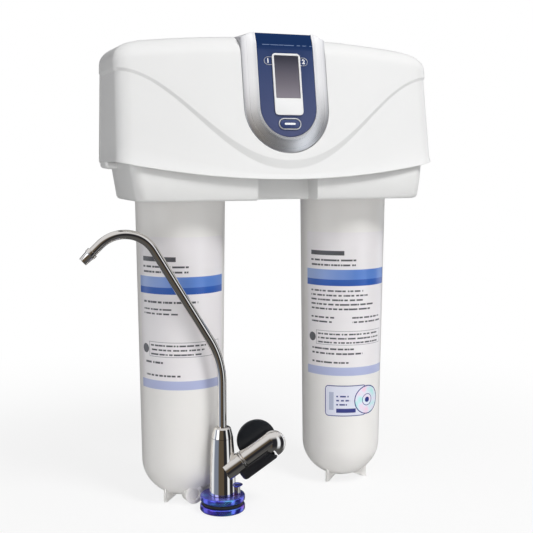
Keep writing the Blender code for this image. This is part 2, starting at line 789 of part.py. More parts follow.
def manifold_profile():
    """A thick cup that opens downwards, with a lip and a groove for the lugs."""
    neck_bore = NECK_RADIUS + 2 * RUN_GAP
    groove_bottom = LUG_BOTTOM - SEAT_GAP
    groove_top = LUG_TOP + SEAT_GAP
    chamber = PLUG_RADIUS + RUN_GAP
    return [
        (0, MANIFOLD_TOP),
        (MANIFOLD_RADIUS, MANIFOLD_TOP),
        (MANIFOLD_RADIUS, MANIFOLD_BOTTOM),
        (LIP_BORE_RADIUS, MANIFOLD_BOTTOM),
        (LIP_BORE_RADIUS, groove_bottom),
        (GROOVE_RADIUS, groove_bottom),
        (GROOVE_RADIUS, groove_top),
        (neck_bore, groove_top),
        (neck_bore, NECK_TOP + SEAT_GAP),
        (chamber, NECK_TOP + SEAT_GAP),
        (chamber, PLUG_TOP + SEAT_GAP),
        (0, PLUG_TOP + SEAT_GAP),
    ]


def make_manifold(side, x, inward, root):
    """The socket of one cartridge, with its arm to the back plate and its two ports."""
    spot = frame(side + "_manifold_spot", root, location=(x, 0, 0))
    surface = finish("manifold_plastic", LIGHT_GREY, 0.5)
    body = place(side + "_manifold", turned(manifold_profile()), surface, spot)
    turn(body, MEDIUM_SIDES)
    arm = place_cutter(
        side + "_manifold_arm",
        block((-ARM_WIDTH / 2, ARM_FRONT, ARM_BOTTOM), (ARM_WIDTH / 2, ARM_REAR, ARM_TOP)),
        spot,
    )
    combine(body, arm, "UNION")
    slots = place_cutter(
        side + "_lug_slots",
        block(
            (-LUG_WIDTH / 2 - SLOT_MARGIN, -GROOVE_RADIUS + SEAT_GAP, MANIFOLD_BOTTOM - OVERCUT),
            (LUG_WIDTH / 2 + SLOT_MARGIN, GROOVE_RADIUS - SEAT_GAP, LUG_BOTTOM + LUG_HEIGHT / 2),
        ),
        spot,
    )
    combine(body, slots)
    lean = (0, math.pi / 2 * inward, 0)
    for label, height in (("cross", CROSS_HEIGHT), ("feed", FEED_HEIGHT)):
        boss = place_cutter(
            "{}_{}_boss".format(side, label),
            rod(PORT_BOSS_RADIUS, PORT_BOSS_ROOT, PORT_BOSS_REACH),
            spot,
            location=(0, 0, height),
            rotation=lean,
        )
        combine(body, boss, "UNION")
    for label, height, start in (
        ("cross", CROSS_HEIGHT, NECK_RADIUS - OVERCUT),
        ("feed", FEED_HEIGHT, PLUG_RADIUS - OVERCUT),
    ):
        bore = place_cutter(
            "{}_{}_bore".format(side, label),
            rod(PIPE_RADIUS + SEAT_GAP, start, PORT_BOSS_REACH + OVERCUT),
            spot,
            location=(0, 0, height),
            rotation=lean,
        )
        combine(body, bore)
    hole_start = PLATE_REAR - SCREW_LENGTH - SEAT_GAP
    for index, height in enumerate(SCREW_HEIGHTS):
        hole = place_cutter(
            "{}_arm_hole_{}".format(side, index + 1),
            rod(SCREW_RADIUS + SEAT_GAP, hole_start, PLATE_REAR + OVERCUT, TINY_SIDES),
            spot,
            location=(0, 0, height),
            rotation=(-math.pi / 2, 0, 0),
        )
        combine(body, hole)


def hollow_bar(name, points, outer, inner, surface, parent):
    """A pipe along a list of points, with an open bore from end to end."""
    pipe = place(name, tube(points, outer, name), surface, parent)
    first = Vector(points[0])
    last = Vector(points[-1])
    lead = first + (first - Vector(points[1])).normalized() * OVERCUT
    tail = last + (last - Vector(points[-2])).normalized() * OVERCUT
    inside = [tuple(lead)] + list(points) + [tuple(tail)]
    combine(pipe, place_cutter(name + "_bore", tube(inside, inner), parent))
    return pipe


def make_cross_line(root):
    """Two short pipes between the manifolds, with a flow sensor in the middle."""
    surface = finish("pipe_plastic", WHITE, 0.35)
    port_end = SENSOR_LENGTH / 2
    manifold_mouth = HALF_SPACING - PORT_BOSS_REACH
    inner_end = port_end - PIPE_PLUG_DEPTH
    outer_end = manifold_mouth + PIPE_PLUG_DEPTH
    for side, sign in (("left", -1), ("right", 1)):
        hollow_bar(
            side + "_cross_pipe",
            [(sign * inner_end, 0, CROSS_HEIGHT), (sign * outer_end, 0, CROSS_HEIGHT)],
            PIPE_RADIUS,
            PIPE_BORE_RADIUS,
            surface,
            root,
        )
    spot = frame("sensor_axis", root, location=(0, 0, CROSS_HEIGHT), rotation=(0, math.pi / 2, 0))
    body_end = port_end - SENSOR_PORT_LENGTH
    bore = PIPE_RADIUS + SEAT_GAP
    port = bore + SENSOR_PORT_WALL
    profile = [
        (port, port_end),
        (port, body_end),
        (SENSOR_RADIUS, body_end),
        (SENSOR_RADIUS, -body_end),
        (port, -body_end),
        (port, -port_end),
        (bore, -port_end),
        (bore, -ROTOR_LENGTH / 2 - SEAT_GAP * 2),
        (SENSOR_BORE_RADIUS, -ROTOR_LENGTH / 2 - SEAT_GAP * 2),
        (SENSOR_BORE_RADIUS, ROTOR_LENGTH / 2 + SEAT_GAP * 2),
        (bore, ROTOR_LENGTH / 2 + SEAT_GAP * 2),
        (bore, port_end),
    ]
    dark = finish("sensor_plastic", BLACK, 0.5)
    sensor = place("flow_sensor_body", turned(profile, closed=True), dark, spot)
    turn(sensor, SMALL_SIDES)
    rotor = place(
        "flow_sensor_rotor",
        rod(ROTOR_HUB_RADIUS, -ROTOR_LENGTH / 2, ROTOR_LENGTH / 2, TINY_SIDES),
        finish("rotor_plastic", (0.2, 0.35, 0.75), 0.4),
        spot,
    )
    for index in range(ROTOR_BLADES // 2):
        blade = place_cutter(
            "rotor_blade_{}".format(index + 1),
            block(
                (-ROTOR_RADIUS, -ROTOR_BLADE_THICKNESS / 2, -ROTOR_LENGTH / 2 + SEAT_GAP),
                (ROTOR_RADIUS, ROTOR_BLADE_THICKNESS / 2, ROTOR_LENGTH / 2 - SEAT_GAP),
            ),
            spot,
            rotation=(0, 0, math.tau * index / ROTOR_BLADES),
        )
        combine(rotor, blade, "UNION")


def feed_route(sign):
    """From the manifold's upper port, back and down to the connector in the tray."""
    start_x = HALF_SPACING - PORT_BOSS_REACH + PIPE_PLUG_DEPTH
    bend_x = FEED_X + FEED_BEND
    points = [(sign * start_x, 0, FEED_HEIGHT)]
    for i in range(FEED_STEPS + 1):
        angle = math.pi / 2 * i / FEED_STEPS
        share = i / FEED_STEPS
        x = bend_x - FEED_BEND * math.sin(angle)
        y = FEED_Y * (1 - math.cos(math.pi * share)) / 2
        z = FEED_HEIGHT - FEED_BEND * 2 * (1 - math.cos(angle))
        points.append((sign * x, y, z))
    points.append((sign * FEED_X, FEED_Y, CONNECTOR_TOP - PIPE_PLUG_DEPTH))
    return points


def make_feed_line(name, sign, root):
    """The water's way in or out: a bent pipe, a push in connector and its collet."""
    surface = finish("pipe_plastic", WHITE, 0.35)
    hollow_bar(name + "_pipe", feed_route(sign), PIPE_RADIUS, PIPE_BORE_RADIUS, surface, root)
    spot = frame(name + "_connector_axis", root, location=(sign * FEED_X, FEED_Y, 0))
    bore = PIPE_RADIUS + SEAT_GAP
    mouth = COLLET_RADIUS - COLLET_WALL
    profile = [
        (CONNECTOR_RADIUS, CONNECTOR_TOP),
        (CONNECTOR_RADIUS, CONNECTOR_BOTTOM),
        (mouth + SEAT_GAP, CONNECTOR_BOTTOM),
        (mouth + SEAT_GAP, CONNECTOR_BOTTOM + PIPE_PLUG_DEPTH + SEAT_GAP),
        (PIPE_BORE_RADIUS, CONNECTOR_BOTTOM + PIPE_PLUG_DEPTH + SEAT_GAP),
        (PIPE_BORE_RADIUS, CONNECTOR_TOP - PIPE_PLUG_DEPTH - SEAT_GAP),
        (bore, CONNECTOR_TOP - PIPE_PLUG_DEPTH - SEAT_GAP),
        (bore, CONNECTOR_TOP),
    ]
    white = finish("connector_plastic", WHITE, 0.4)
    body = place(name + "_connector", turned(profile, closed=True), white, spot)
    turn(body, SMALL_SIDES)
    collet_profile = [
        (mouth, CONNECTOR_BOTTOM + PIPE_PLUG_DEPTH),
        (mouth, CONNECTOR_BOTTOM - SEAT_GAP),
        (COLLET_RADIUS, CONNECTOR_BOTTOM - SEAT_GAP),
        (COLLET_RADIUS, CONNECTOR_BOTTOM - COLLET_LENGTH),
        (PIPE_BORE_RADIUS, CONNECTOR_BOTTOM - COLLET_LENGTH),
        (PIPE_BORE_RADIUS, CONNECTOR_BOTTOM + PIPE_PLUG_DEPTH),
    ]
    blue = finish("collet_blue", (0.10, 0.22, 0.62), 0.4)
    collet = place(name + "_collet", turned(collet_profile, closed=True), blue, spot)
    turn(collet, SMALL_SIDES)


def low_edge(x):
    """The height of the cover's lower edge, which smiles across the front."""
    return COVER_LOW + EDGE_RISE * (x / COVER_HALF_WIDTH) ** 2


def high_edge(x):
    """The height of the cover's roof, which is slightly crowned."""
    return COVER_HIGH - CROWN_DROP * (x / COVER_HALF_WIDTH) ** 2


def wave_share(x):
    """One at the bottom of the wave and none at the ends of the cover."""
    reach = min(abs(x) / COVER_HALF_WIDTH, 1.0) ** WAVE_POWER
    return (1 + math.cos(math.pi * reach)) / 2


def band_height(x):
    """The height of the sloped band that follows the wave."""
    return BAND_END + (BAND_MIDDLE - BAND_END) * wave_share(x)


def wave_line(x):
    """The height of the middle of the band."""
    return WAVE_END - WAVE_DEPTH * wave_share(x)


def strip_inset(x):
    """How far the strip below the band stands back from the face above it."""
    return band_height(x) * BAND_DEPTH_SHARE


def front_slope():
    """The turn of the bowed front where it meets the round corner."""
    return math.atan(2 * BOW_DEPTH / COVER_HALF_WIDTH ** 2 * (COVER_HALF_WIDTH - CORNER_RADIUS))


def front_end():
    """Where the bowed front meets the round corner, seen from above."""
    end_x = COVER_HALF_WIDTH - CORNER_RADIUS + CORNER_RADIUS * math.sin(front_slope())
    return end_x, -(COVER_FRONT - BOW_DEPTH * (end_x / COVER_HALF_WIDTH) ** 2)


def corner_centre_y():
    """The middle of the round corner, seen from above."""
    return front_end()[1] + CORNER_RADIUS * math.cos(front_slope())


def cover_plan():
    """Places and outward directions round the cover: left side, front and right side."""
    bow = BOW_DEPTH / COVER_HALF_WIDTH ** 2
    slope = front_slope()
    end_x = front_end()[0]
    centre_y = corner_centre_y()
    centre_x = COVER_HALF_WIDTH - CORNER_RADIUS
    half = []
    for i in range(SIDE_STEPS):
        y = SKIN_REAR + (centre_y - SKIN_REAR) * i / SIDE_STEPS
        half.append((-COVER_HALF_WIDTH, y, -1.0, 0.0))
    for i in range(CORNER_STEPS + 1):
        angle = math.pi + (math.pi / 2 - slope) * i / CORNER_STEPS
        across = math.cos(angle)
        ahead = math.sin(angle)
        half.append((-centre_x + CORNER_RADIUS * across, centre_y + CORNER_RADIUS * ahead, across, ahead))
    for i in range(1, FRONT_STEPS // 2 + 1):
        x = -end_x * (1 - 2 * i / FRONT_STEPS)
        lean = math.atan(2 * bow * x)
        half.append((x, -(COVER_FRONT - bow * x ** 2), math.sin(lean), -math.cos(lean)))
    other = [(-x, y, -across, ahead) for x, y, across, ahead in reversed(half[:-1])]
    return half + other


def cover_point(place_at, height, inset):
    """A point of the cover's skin, drawn in along the outline and slanted back."""
    x, y, across, ahead = place_at
    rise = height - COVER_LOW
    front_share = (COVER_REAR - y) / (COVER_REAR + COVER_FRONT)
    draft = SIDE_DRAFT * rise / (COVER_HIGH - COVER_LOW) * x / COVER_HALF_WIDTH
    slant = math.tan(FRONT_SLANT) * rise * front_share
    tighten = inset * (CORNER_RADIUS - ROUND_CORNER) / ROUND_INSET
    shift = inset - tighten
    x_share = max(-1.0, min(1.0, x / (COVER_HALF_WIDTH - CORNER_RADIUS)))
    y_share = max(0.0, min(1.0, (SKIN_REAR - y) / (SKIN_REAR - corner_centre_y())))
    new_x = x - draft - across * tighten - shift * x_share
    new_y = y + slant - ahead * tighten + shift * y_share
    if y >= COVER_REAR:
        new_y = y
    return Vector((new_x, new_y, height))


def cover_rows():
    """Rows of the cover's skin from its lower edge to the start of its roof."""
    plan = cover_plan()
    rows = []

    def add_row(height_at, inset_at):
        rows.append([cover_point(p, height_at(p[0]), inset_at(p[0])) for p in plan])

    def step_bottom(x):
        return wave_line(x) - band_height(x) / 2

    def step_top(x):
        return wave_line(x) + band_height(x) / 2

    def round_start(x):
        return high_edge(x) - ROUND_HEIGHT

    add_row(low_edge, lambda x: strip_inset(x) - EDGE_LIP)
    add_row(lambda x: low_edge(x) + EDGE_LIP_HEIGHT, lambda x: strip_inset(x) - EDGE_LIP)
    add_row(lambda x: low_edge(x) + 2 * EDGE_LIP_HEIGHT, strip_inset)
    add_row(lambda x: (low_edge(x) + 2 * EDGE_LIP_HEIGHT + step_bottom(x)) / 2, strip_inset)
    add_row(step_bottom, strip_inset)
    add_row(step_top, lambda x: 0)
    add_row(lambda x: step_top(x) + (round_start(x) - step_top(x)) * UPPER_ROW_SHARE, lambda x: 0)
    add_row(round_start, lambda x: 0)
    for i in range(1, ROUND_STEPS + 1):
        angle = math.pi / 2 * i / ROUND_STEPS
        rise = ROUND_HEIGHT * math.sin(angle)
        inset = ROUND_INSET * (1 - math.cos(angle))
        add_row(lambda x, r=rise: round_start(x) + r, lambda x, n=inset: n)
    return rows


def make_head_cover(root):
    """The cover: one thin skin, open below and behind, with a roof."""
    form = bmesh.new()
    rows = [[form.verts.new(point) for point in row] for row in cover_rows()]
    for low, high in zip(rows, rows[1:]):
        for i in range(len(low) - 1):
            form.faces.new((low[i], low[i + 1], high[i + 1], high[i]))
    rim = rows[-1]
    side_count = SIDE_STEPS + CORNER_STEPS
    front = rim[side_count:len(rim) - side_count]
    back = [form.verts.new((v.co.x, SKIN_REAR, v.co.z)) for v in front[1:-1]]
    left_rear = rim[0]
    right_rear = rim[-1]
    form.faces.new([left_rear] + rim[1:side_count + 2] + [back[0]])
    for i in range(1, len(front) - 2):
        form.faces.new((front[i], front[i + 1], back[i], back[i - 1]))
    form.faces.new([back[-1]] + rim[len(rim) - side_count - 2:-1] + [right_rear])
    bmesh.ops.recalc_face_normals(form, faces=form.faces)
    mesh = bpy.data.meshes.new("head_cover")
    form.to_mesh(mesh)
    form.free()
    cover = place("head_cover", crisp(mesh), finish("cover_white", WHITE, 0.35), root)
    skin = cover.modifiers.new("wall", "SOLIDIFY")
    skin.thickness = COVER_WALL
    skin.offset = -1.0
    reach = COVER_HALF_WIDTH + OVERCUT
    trim = block(
        (-reach, COVER_REAR, COVER_LOW - OVERCUT),
        (reach, SKIN_REAR + OVERCUT, COVER_HIGH + OVERCUT),
    )
    combine(cover, place_cutter("cover_rear_trim", trim, root))
    return cover


def rear_outline():
    """The outline of the cover's rear edge in X and Z, closed along the back plate's foot."""
    rear = (-COVER_HALF_WIDTH, COVER_REAR, -1.0, 0.0)
    left = []
    start = high_edge(COVER_HALF_WIDTH) - ROUND_HEIGHT
    foot = cover_point(rear, PLATE_LOW, 0)
    corner = arc(
        (foot.x + PLATE_CORNER, PLATE_LOW + PLATE_CORNER), PLATE_CORNER, 270, 180, PLATE_CORNER_STEPS
    )
    left += corner
    left.append(tuple(cover_point(rear, start, 0).xz))
    for i in range(1, ROUND_STEPS + 1):
        angle = math.pi / 2 * i / ROUND_STEPS
        point = cover_point(rear, start + ROUND_HEIGHT * math.sin(angle), ROUND_INSET * (1 - math.cos(angle)))
        left.append((point.x, point.z))
    roof = []
    edge_x = -left[-1][0]
    for i in range(1, FRONT_STEPS // 2):
        x = -edge_x * (1 - 2 * i / (FRONT_STEPS // 2))
        roof.append((x, high_edge(x)))
    right = [(-x, z) for x, z in reversed(left)]
    return left + roof + right


def shrink(outline, inset_x, inset_z):
    """Draw a closed outline in towards its middle, by one inset across and one in height."""
    xs = [x for x, z in outline]
    zs = [z for x, z in outline]
    half_x = (max(xs) - min(xs)) / 2
    half_z = (max(zs) - min(zs)) / 2
    mid_x = (max(xs) + min(xs)) / 2
    mid_z = (max(zs) + min(zs)) / 2
    scale_x = (half_x - inset_x) / half_x
    scale_z = (half_z - inset_z) / half_z
    return [(mid_x + (x - mid_x) * scale_x, mid_z + (z - mid_z) * scale_z) for x, z in outline]


def make_back_plate(root):
    """The pan behind the cover, with two keyholes and the holes for its screws."""
    outline = rear_outline()
    front = COVER_REAR + SEAT_GAP
    start = PLATE_EDGE_ROUND * EDGE_START_SHARE
    rings = []
    for depth, inset_x, inset_z in (
        (front - OVERCUT / 2, 0, 0),
        (PLATE_REAR - PLATE_EDGE_ROUND, PLATE_TAPER, start),
        (PLATE_REAR - PLATE_EDGE_ROUND / 3, PLATE_TAPER + start, PLATE_EDGE_ROUND * EDGE_MIDDLE_SHARE),
        (PLATE_REAR, PLATE_TAPER + PLATE_EDGE_ROUND * EDGE_END_SHARE, PLATE_EDGE_ROUND * EDGE_FOOT_SHARE),
    ):
        rings.append([(x, depth, z) for x, z in shrink(outline, inset_x, inset_z)])
    form = bmesh.new()
    rows = [[form.verts.new(point) for point in ring] for ring in rings]
    count = len(rows[0])
    for near, far in zip(rows, rows[1:]):
        for i in range(count):
            j = (i + 1) % count
            form.faces.new((near[i], near[j], far[j], far[i]))
    form.faces.new(rows[-1])
    bmesh.ops.recalc_face_normals(form, faces=form.faces)
    rear_face = max(form.faces, key=lambda face: face.calc_center_median().y)
    rear_face.normal_update()
    if rear_face.normal.y < 0:
        bmesh.ops.reverse_faces(form, faces=form.faces)
    mesh = bpy.data.meshes.new("back_plate")
    form.to_mesh(mesh)
    form.free()
    plate = place("back_plate", crisp(mesh), finish("plate_white", LIGHT_GREY, 0.5), root)
    wall = plate.modifiers.new("wall", "SOLIDIFY")
    wall.thickness = PLATE_WALL
    wall.offset = -1.0
    wall.use_even_offset = True
    reach = COVER_HALF_WIDTH + OVERCUT
    trim = block((-reach, front - OVERCUT, PLATE_LOW - OVERCUT), (reach, front, COVER_HIGH + OVERCUT))
    combine(plate, place_cutter("plate_front_trim", trim, root))
    for index, x in enumerate((-KEYHOLE_X, KEYHOLE_X)):
        outline = arc((0, 0), KEYHOLE_RADIUS, 120, 420, 12)
        outline += arc((0, KEYHOLE_SLOT_LENGTH), KEYHOLE_SLOT_RADIUS, 0, 180, 6)
        hole = place_cutter(
            "keyhole_{}".format(index + 1),
            slab(outline, PLATE_WALL + 2 * OVERCUT),
            root,
            location=(x, PLATE_REAR - PLATE_WALL / 2, KEYHOLE_Z),
            rotation=(math.pi / 2, 0, 0),
        )
        combine(plate, hole)
    return plate


def make_manifold_screws(plate, root):
    """Four screws that hold the manifolds, sunk into the back plate."""
    number = 0
    for x in (-HALF_SPACING, HALF_SPACING):
        for height in SCREW_HEIGHTS:
            number += 1
            spot = frame(
                "manifold_screw_axis_{}".format(number),
                root,
                location=(x, PLATE_REAR, height),
                rotation=(-math.pi / 2, 0, 0),
            )
            sink = SEAT_GAP
            head_low = -sink - SCREW_HEAD_HEIGHT
            profile = [
                (0, -sink),
                (SCREW_HEAD_RADIUS, -sink),
                (SCREW_HEAD_RADIUS, head_low),
                (SCREW_RADIUS, head_low),
                (SCREW_RADIUS, -SCREW_LENGTH),
                (0, -SCREW_LENGTH),
            ]
            steel = finish("screw_steel", STEEL, 0.3, 1.0)
            screw = place("manifold_screw_{}".format(number), turned(profile), steel, spot)
            turn(screw, TINY_SIDES)
            seat = [
                (0, OVERCUT),
                (SCREW_HEAD_RADIUS + SEAT_GAP, OVERCUT),
                (SCREW_HEAD_RADIUS + SEAT_GAP, head_low - SEAT_GAP),
                (SCREW_RADIUS + SEAT_GAP, head_low - SEAT_GAP),
                (SCREW_RADIUS + SEAT_GAP, -PLATE_WALL - OVERCUT),
                (0, -PLATE_WALL - OVERCUT),
            ]
            sinker = place_cutter("screw_seat_{}".format(number), turned(seat), spot)
            turn(sinker, TINY_SIDES)
            combine(plate, sinker)


def tray_plan():
    """The tray's outline from above, with a notch in the middle of its front."""
    x = TRAY_HALF_WIDTH
    rear = COVER_REAR
    corner = TRAY_CORNER

    def front_at(across):
        return -(TRAY_FRONT - TRAY_BOW * (across / x) ** 2)

    end_y = front_at(x - corner)
    right = [(x, rear)]
    right += arc((x - corner, end_y + corner), corner, 0, -90, TRAY_CORNER_STEPS)
    for i in range(1, TRAY_FRONT_STEPS + 1):
        across = x - corner + (RECESS_HALF_WIDTH - x + corner) * i / TRAY_FRONT_STEPS
        right.append((across, front_at(across)))
    right.append((RECESS_HALF_WIDTH, front_at(0) + RECESS_DEPTH))
    left = [(-a, b) for a, b in reversed(right)]
    return right + left


def make_tray(root):
    """The tray below the cover, open above, with its holes."""
    plan = tray_plan()

    def ring(height, inset, slant=0):
        taper = 1 - TRAY_TAPER / TRAY_HALF_WIDTH * (TRAY_TOP - height) / (TRAY_TOP - TRAY_BOTTOM)
        across = taper * (TRAY_HALF_WIDTH - inset) / TRAY_HALF_WIDTH
        ahead = (TRAY_FRONT - inset - slant) / TRAY_FRONT
        points = []
        for x, y in plan:
            is_notch = abs(x) <= RECESS_HALF_WIDTH + WELD_DISTANCE
            new_x = x if is_notch else x * across
            points.append((new_x, y * ahead if y < 0 else y, height))
        return points

    rings = [
        ring(TRAY_BOTTOM, TRAY_EDGE_ROUND),
        ring(TRAY_BOTTOM + TRAY_EDGE_ROUND * TRAY_EDGE_SHARE, TRAY_EDGE_ROUND * TRAY_EDGE_SHARE),
        ring(TRAY_BOTTOM + TRAY_EDGE_ROUND, 0),
        ring(TRAY_BOTTOM + TRAY_STRAIGHT, 0),
        ring(TRAY_TOP, 0, math.tan(FRONT_SLANT) * (TRAY_TOP - TRAY_BOTTOM - TRAY_STRAIGHT)),
    ]
    form = bmesh.new()
    rows = [[form.verts.new(point) for point in points] for points in rings]
    count = len(rows[0])
    for low, high in zip(rows, rows[1:]):
        for i in range(count):
            j = (i + 1) % count
            form.faces.new((low[i], low[j], high[j], high[i]))
    floor = form.faces.new(rows[0])
    bmesh.ops.recalc_face_normals(form, faces=form.faces)
    floor.normal_update()
    if floor.normal.z > 0:
        bmesh.ops.reverse_faces(form, faces=form.faces)
    mesh = bpy.data.meshes.new("head_tray")
    form.to_mesh(mesh)
    form.free()
    tray = place("head_tray", crisp(mesh), finish("tray_white", WHITE, 0.4), root)
    wall = tray.modifiers.new("wall", "SOLIDIFY")
    wall.thickness = TRAY_WALL
    wall.offset = -1.0
    low = TRAY_BOTTOM - OVERCUT
    high = TRAY_BOTTOM + TRAY_WALL + OVERCUT
    for side, x in (("left", -HALF_SPACING), ("right", HALF_SPACING)):
        hole = place_cutter(
            side + "_tray_hole",
            rod(TRAY_HOLE_RADIUS, low, TRAY_TOP + OVERCUT, ROUND_SIDES),
            root,
            location=(x, 0, 0),
        )
        combine(tray, hole)
    for name, sign in (("inlet", -1), ("outlet", 1)):
        hole = place_cutter(
            name + "_tray_hole",
            rod(CONNECTOR_RADIUS + SEAT_GAP, low, high),
            root,
            location=(sign * FEED_X, FEED_Y, 0),
        )
        combine(tray, hole)


def pod_outline(radius, top):
    """A U in the face of the pod: straight legs above a half circle."""
    return arc((0, 0), radius, 180, 360, POD_ARC_STEPS) + [(radius, top), (-radius, top)]


def pod_path():
    """The line over the pod from the side: up the face, over the bend and back along the roof."""
    crease = Vector((-POD_PROUD, POD_CREASE))
    bend = crease + POD_BEND_LENGTH * Vector((math.sin(POD_BEND), math.cos(POD_BEND)))
    roof = bend + POD_ROOF_LENGTH * Vector((math.cos(FRONT_SLANT), math.sin(FRONT_SLANT)))
    return [Vector((-POD_PROUD, -POD_FACE_LOW)), crease, bend, roof]


def offset_path(path, distance):
    """Move an open line sideways, towards the inside of the pod."""
    normals = []
    for a, b in zip(path, path[1:]):
        along = (b - a).normalized()
        normals.append(Vector((along.y, -along.x)))
    moved = [path[0] + normals[0] * distance]
    for i in range(1, len(path) - 1):
        joint = (normals[i - 1] + normals[i]).normalized()
        moved.append(path[i] + joint * distance / joint.dot(normals[i]))
    moved.append(path[-1] + normals[-1] * distance)
    return moved


def side_slab(line, half_width, name):
    """Extrude a shape drawn from the side of the pod across the pod's width."""
    rings = [[(x, y, z) for y, z in line] for x in (-half_width, half_width)]
    return loft(rings, name)


def through_face(outline, front, back, name):
    """Extrude a shape drawn on the pod's face from front to back."""
    mesh = slab(outline, back - front, name)
    mesh.transform(Matrix.Translation((0, (front + back) / 2, 0)) @ Matrix.Rotation(math.pi / 2, 4, "X"))
    return mesh


def make_bezel(pod):
    """The silver U, swept along its outline and trimmed by the pod's side view."""
    width = POD_OUTER_RADIUS - POD_INNER_RADIUS
    top = POD_CREASE + POD_ROOF_LENGTH
    back = POD_ROOF_LENGTH
    roll = POD_PROUD - (POD_PROUD - POD_EDGE_PROUD) * POD_ROLL_SHARE + POD_ROLL_PROUD
    section = [
        (0, -POD_PROUD),
        (POD_RIM, -POD_PROUD),
        (width / 2, -roll),
        (width, -POD_EDGE_PROUD),
        (width, back),
        (0, back),
    ]
    path = [((-1.0, 0.0), top)]
    for i in range(POD_ARC_STEPS + 1):
        angle = math.pi + math.pi * i / POD_ARC_STEPS
        path.append(((math.cos(angle), math.sin(angle)), 0))
    path.append(((1.0, 0.0), top))
    rings = []
    for (across, up), lift in path:
        ring = []
        for outward, depth in section:
            radius = POD_INNER_RADIUS + outward
            ring.append((across * radius, depth, up * radius + lift))
        rings.append(ring)
    silver = finish("bezel_silver", SILVER, 0.28, 0.9)
    bezel = place("display_bezel", loft(rings, "display_bezel"), silver, pod)
    path = pod_path()
    crease, bend, roof = path[1:]
    drop = Vector((0, -POD_ROOF_DEPTH))
    line = [
        Vector((-POD_PROUD - OVERCUT, -POD_FACE_LOW)),
        Vector((-POD_PROUD - OVERCUT, POD_CREASE - OVERCUT * math.tan(POD_BEND / 2))),
        crease,
        bend,
        roof,
        roof + drop,
        Vector((POD_RIM_DEPTH, POD_LEG_KNEE)),
        Vector((POD_RIM_DEPTH, -POD_FACE_LOW)),
    ]
    trim = place_cutter("bezel_trim", side_slab(line, POD_OUTER_RADIUS + OVERCUT, "bezel_trim"), pod)
    combine(bezel, trim, "INTERSECT")
    back_way = (roof - bend).normalized()
    up_way = Vector((-back_way.y, back_way.x))
    far = POD_OUTER_RADIUS + OVERCUT
    for side, sign in (("left", -1), ("right", 1)):
        rings = []
        for spot, drop in (
            (bend - back_way * OVERCUT * 3, SHOULDER_DROP),
            (roof + back_way * OVERCUT, SHOULDER_REAR_DROP),
        ):
            start = POD_INNER_RADIUS + POD_RIM
            middle = (start + POD_OUTER_RADIUS) / 2
            slope = drop / (POD_OUTER_RADIUS - start)
            shape = [
                (start, OVERCUT),
                (start, 0),
                (middle, -drop * SHOULDER_MIDDLE_SHARE),
                (far, -drop - slope * OVERCUT),
                (far, OVERCUT),
            ]
            points = [(across, spot + up_way * lift) for across, lift in shape]
            rings.append([(sign * across, point.x, point.y) for across, point in points])
        combine(bezel, place_cutter(side + "_shoulder", loft(rings, side + "_shoulder"), pod))


def make_panel(pod):
    """The blue panel: a bent strip with a round foot and holes for window and button."""
    path = pod_path()
    outer = offset_path(path, PANEL_RECESS)
    inner = offset_path(path, PANEL_RECESS + PANEL_THICKNESS)
    line = outer + list(reversed(inner))
    reach = POD_INNER_RADIUS - SEAT_GAP
    strip = side_slab(line, reach + OVERCUT, "display_panel")
    panel = place("display_panel", strip, finish("panel_navy", NAVY, 0.25), pod)
    front = -POD_PROUD - OVERCUT
    keep = through_face(pod_outline(reach, POD_CREASE + POD_ROOF_LENGTH), front, path[-1].x, "keep")
    combine(panel, place_cutter("panel_keep", keep, pod), "INTERSECT")
    back = PANEL_BACK + OVERCUT
    gap = SEAT_GAP
    window = rounded_box(GLASS_HALF_WIDTH + gap, GLASS_LOW - gap, GLASS_HIGH + gap, GLASS_CORNER, 2)
    combine(panel, place_cutter("panel_window", through_face(window, front, back, "window"), pod))
    button = pill(BUTTON_HALF_WIDTH + RUN_GAP, BUTTON_RADIUS + RUN_GAP, BUTTON_HEIGHT)
    combine(panel, place_cutter("panel_button", through_face(button, front, back, "button"), pod))


def make_window(pod):
    """The white frame round the window, the dark glass and the display behind it."""
    seat = PANEL_FRONT - SEAT_GAP
    outline = rounded_box(WINDOW_HALF_WIDTH, WINDOW_LOW, WINDOW_HIGH, WINDOW_CORNER)
    mesh = through_face(outline, seat - WINDOW_THICKNESS, seat, "window_frame")
    rim = place("window_frame", mesh, finish("frame_white", WHITE, 0.3), pod)
    gap = SEAT_GAP
    hole = rounded_box(GLASS_HALF_WIDTH + gap, GLASS_LOW - gap, GLASS_HIGH + gap, GLASS_CORNER, 2)
    cut = through_face(hole, seat - WINDOW_THICKNESS - OVERCUT, seat + OVERCUT, "frame_hole")
    combine(rim, place_cutter("frame_hole", cut, pod))
    glass_outline = rounded_box(GLASS_HALF_WIDTH, GLASS_LOW, GLASS_HIGH, GLASS_CORNER - gap, 2)
    glass_front = seat - WINDOW_THICKNESS / 2
    glass_back = PANEL_BACK + 2 * gap
    place(
        "window_glass",
        through_face(glass_outline, glass_front, glass_back, "window_glass"),
        finish("glass_dark", (0.10, 0.10, 0.12), 0.12),
        pod,
    )
    display_front = glass_back + gap
    place(
        "display_module",
        block(
            (-GLASS_HALF_WIDTH - DISPLAY_MARGIN, display_front, GLASS_LOW - DISPLAY_MARGIN),
            (GLASS_HALF_WIDTH + DISPLAY_MARGIN, BOARD_FRONT - gap, GLASS_HIGH + DISPLAY_MARGIN),
        ),
        finish("module_grey", (0.25, 0.26, 0.27), 0.4),
        pod,
    )


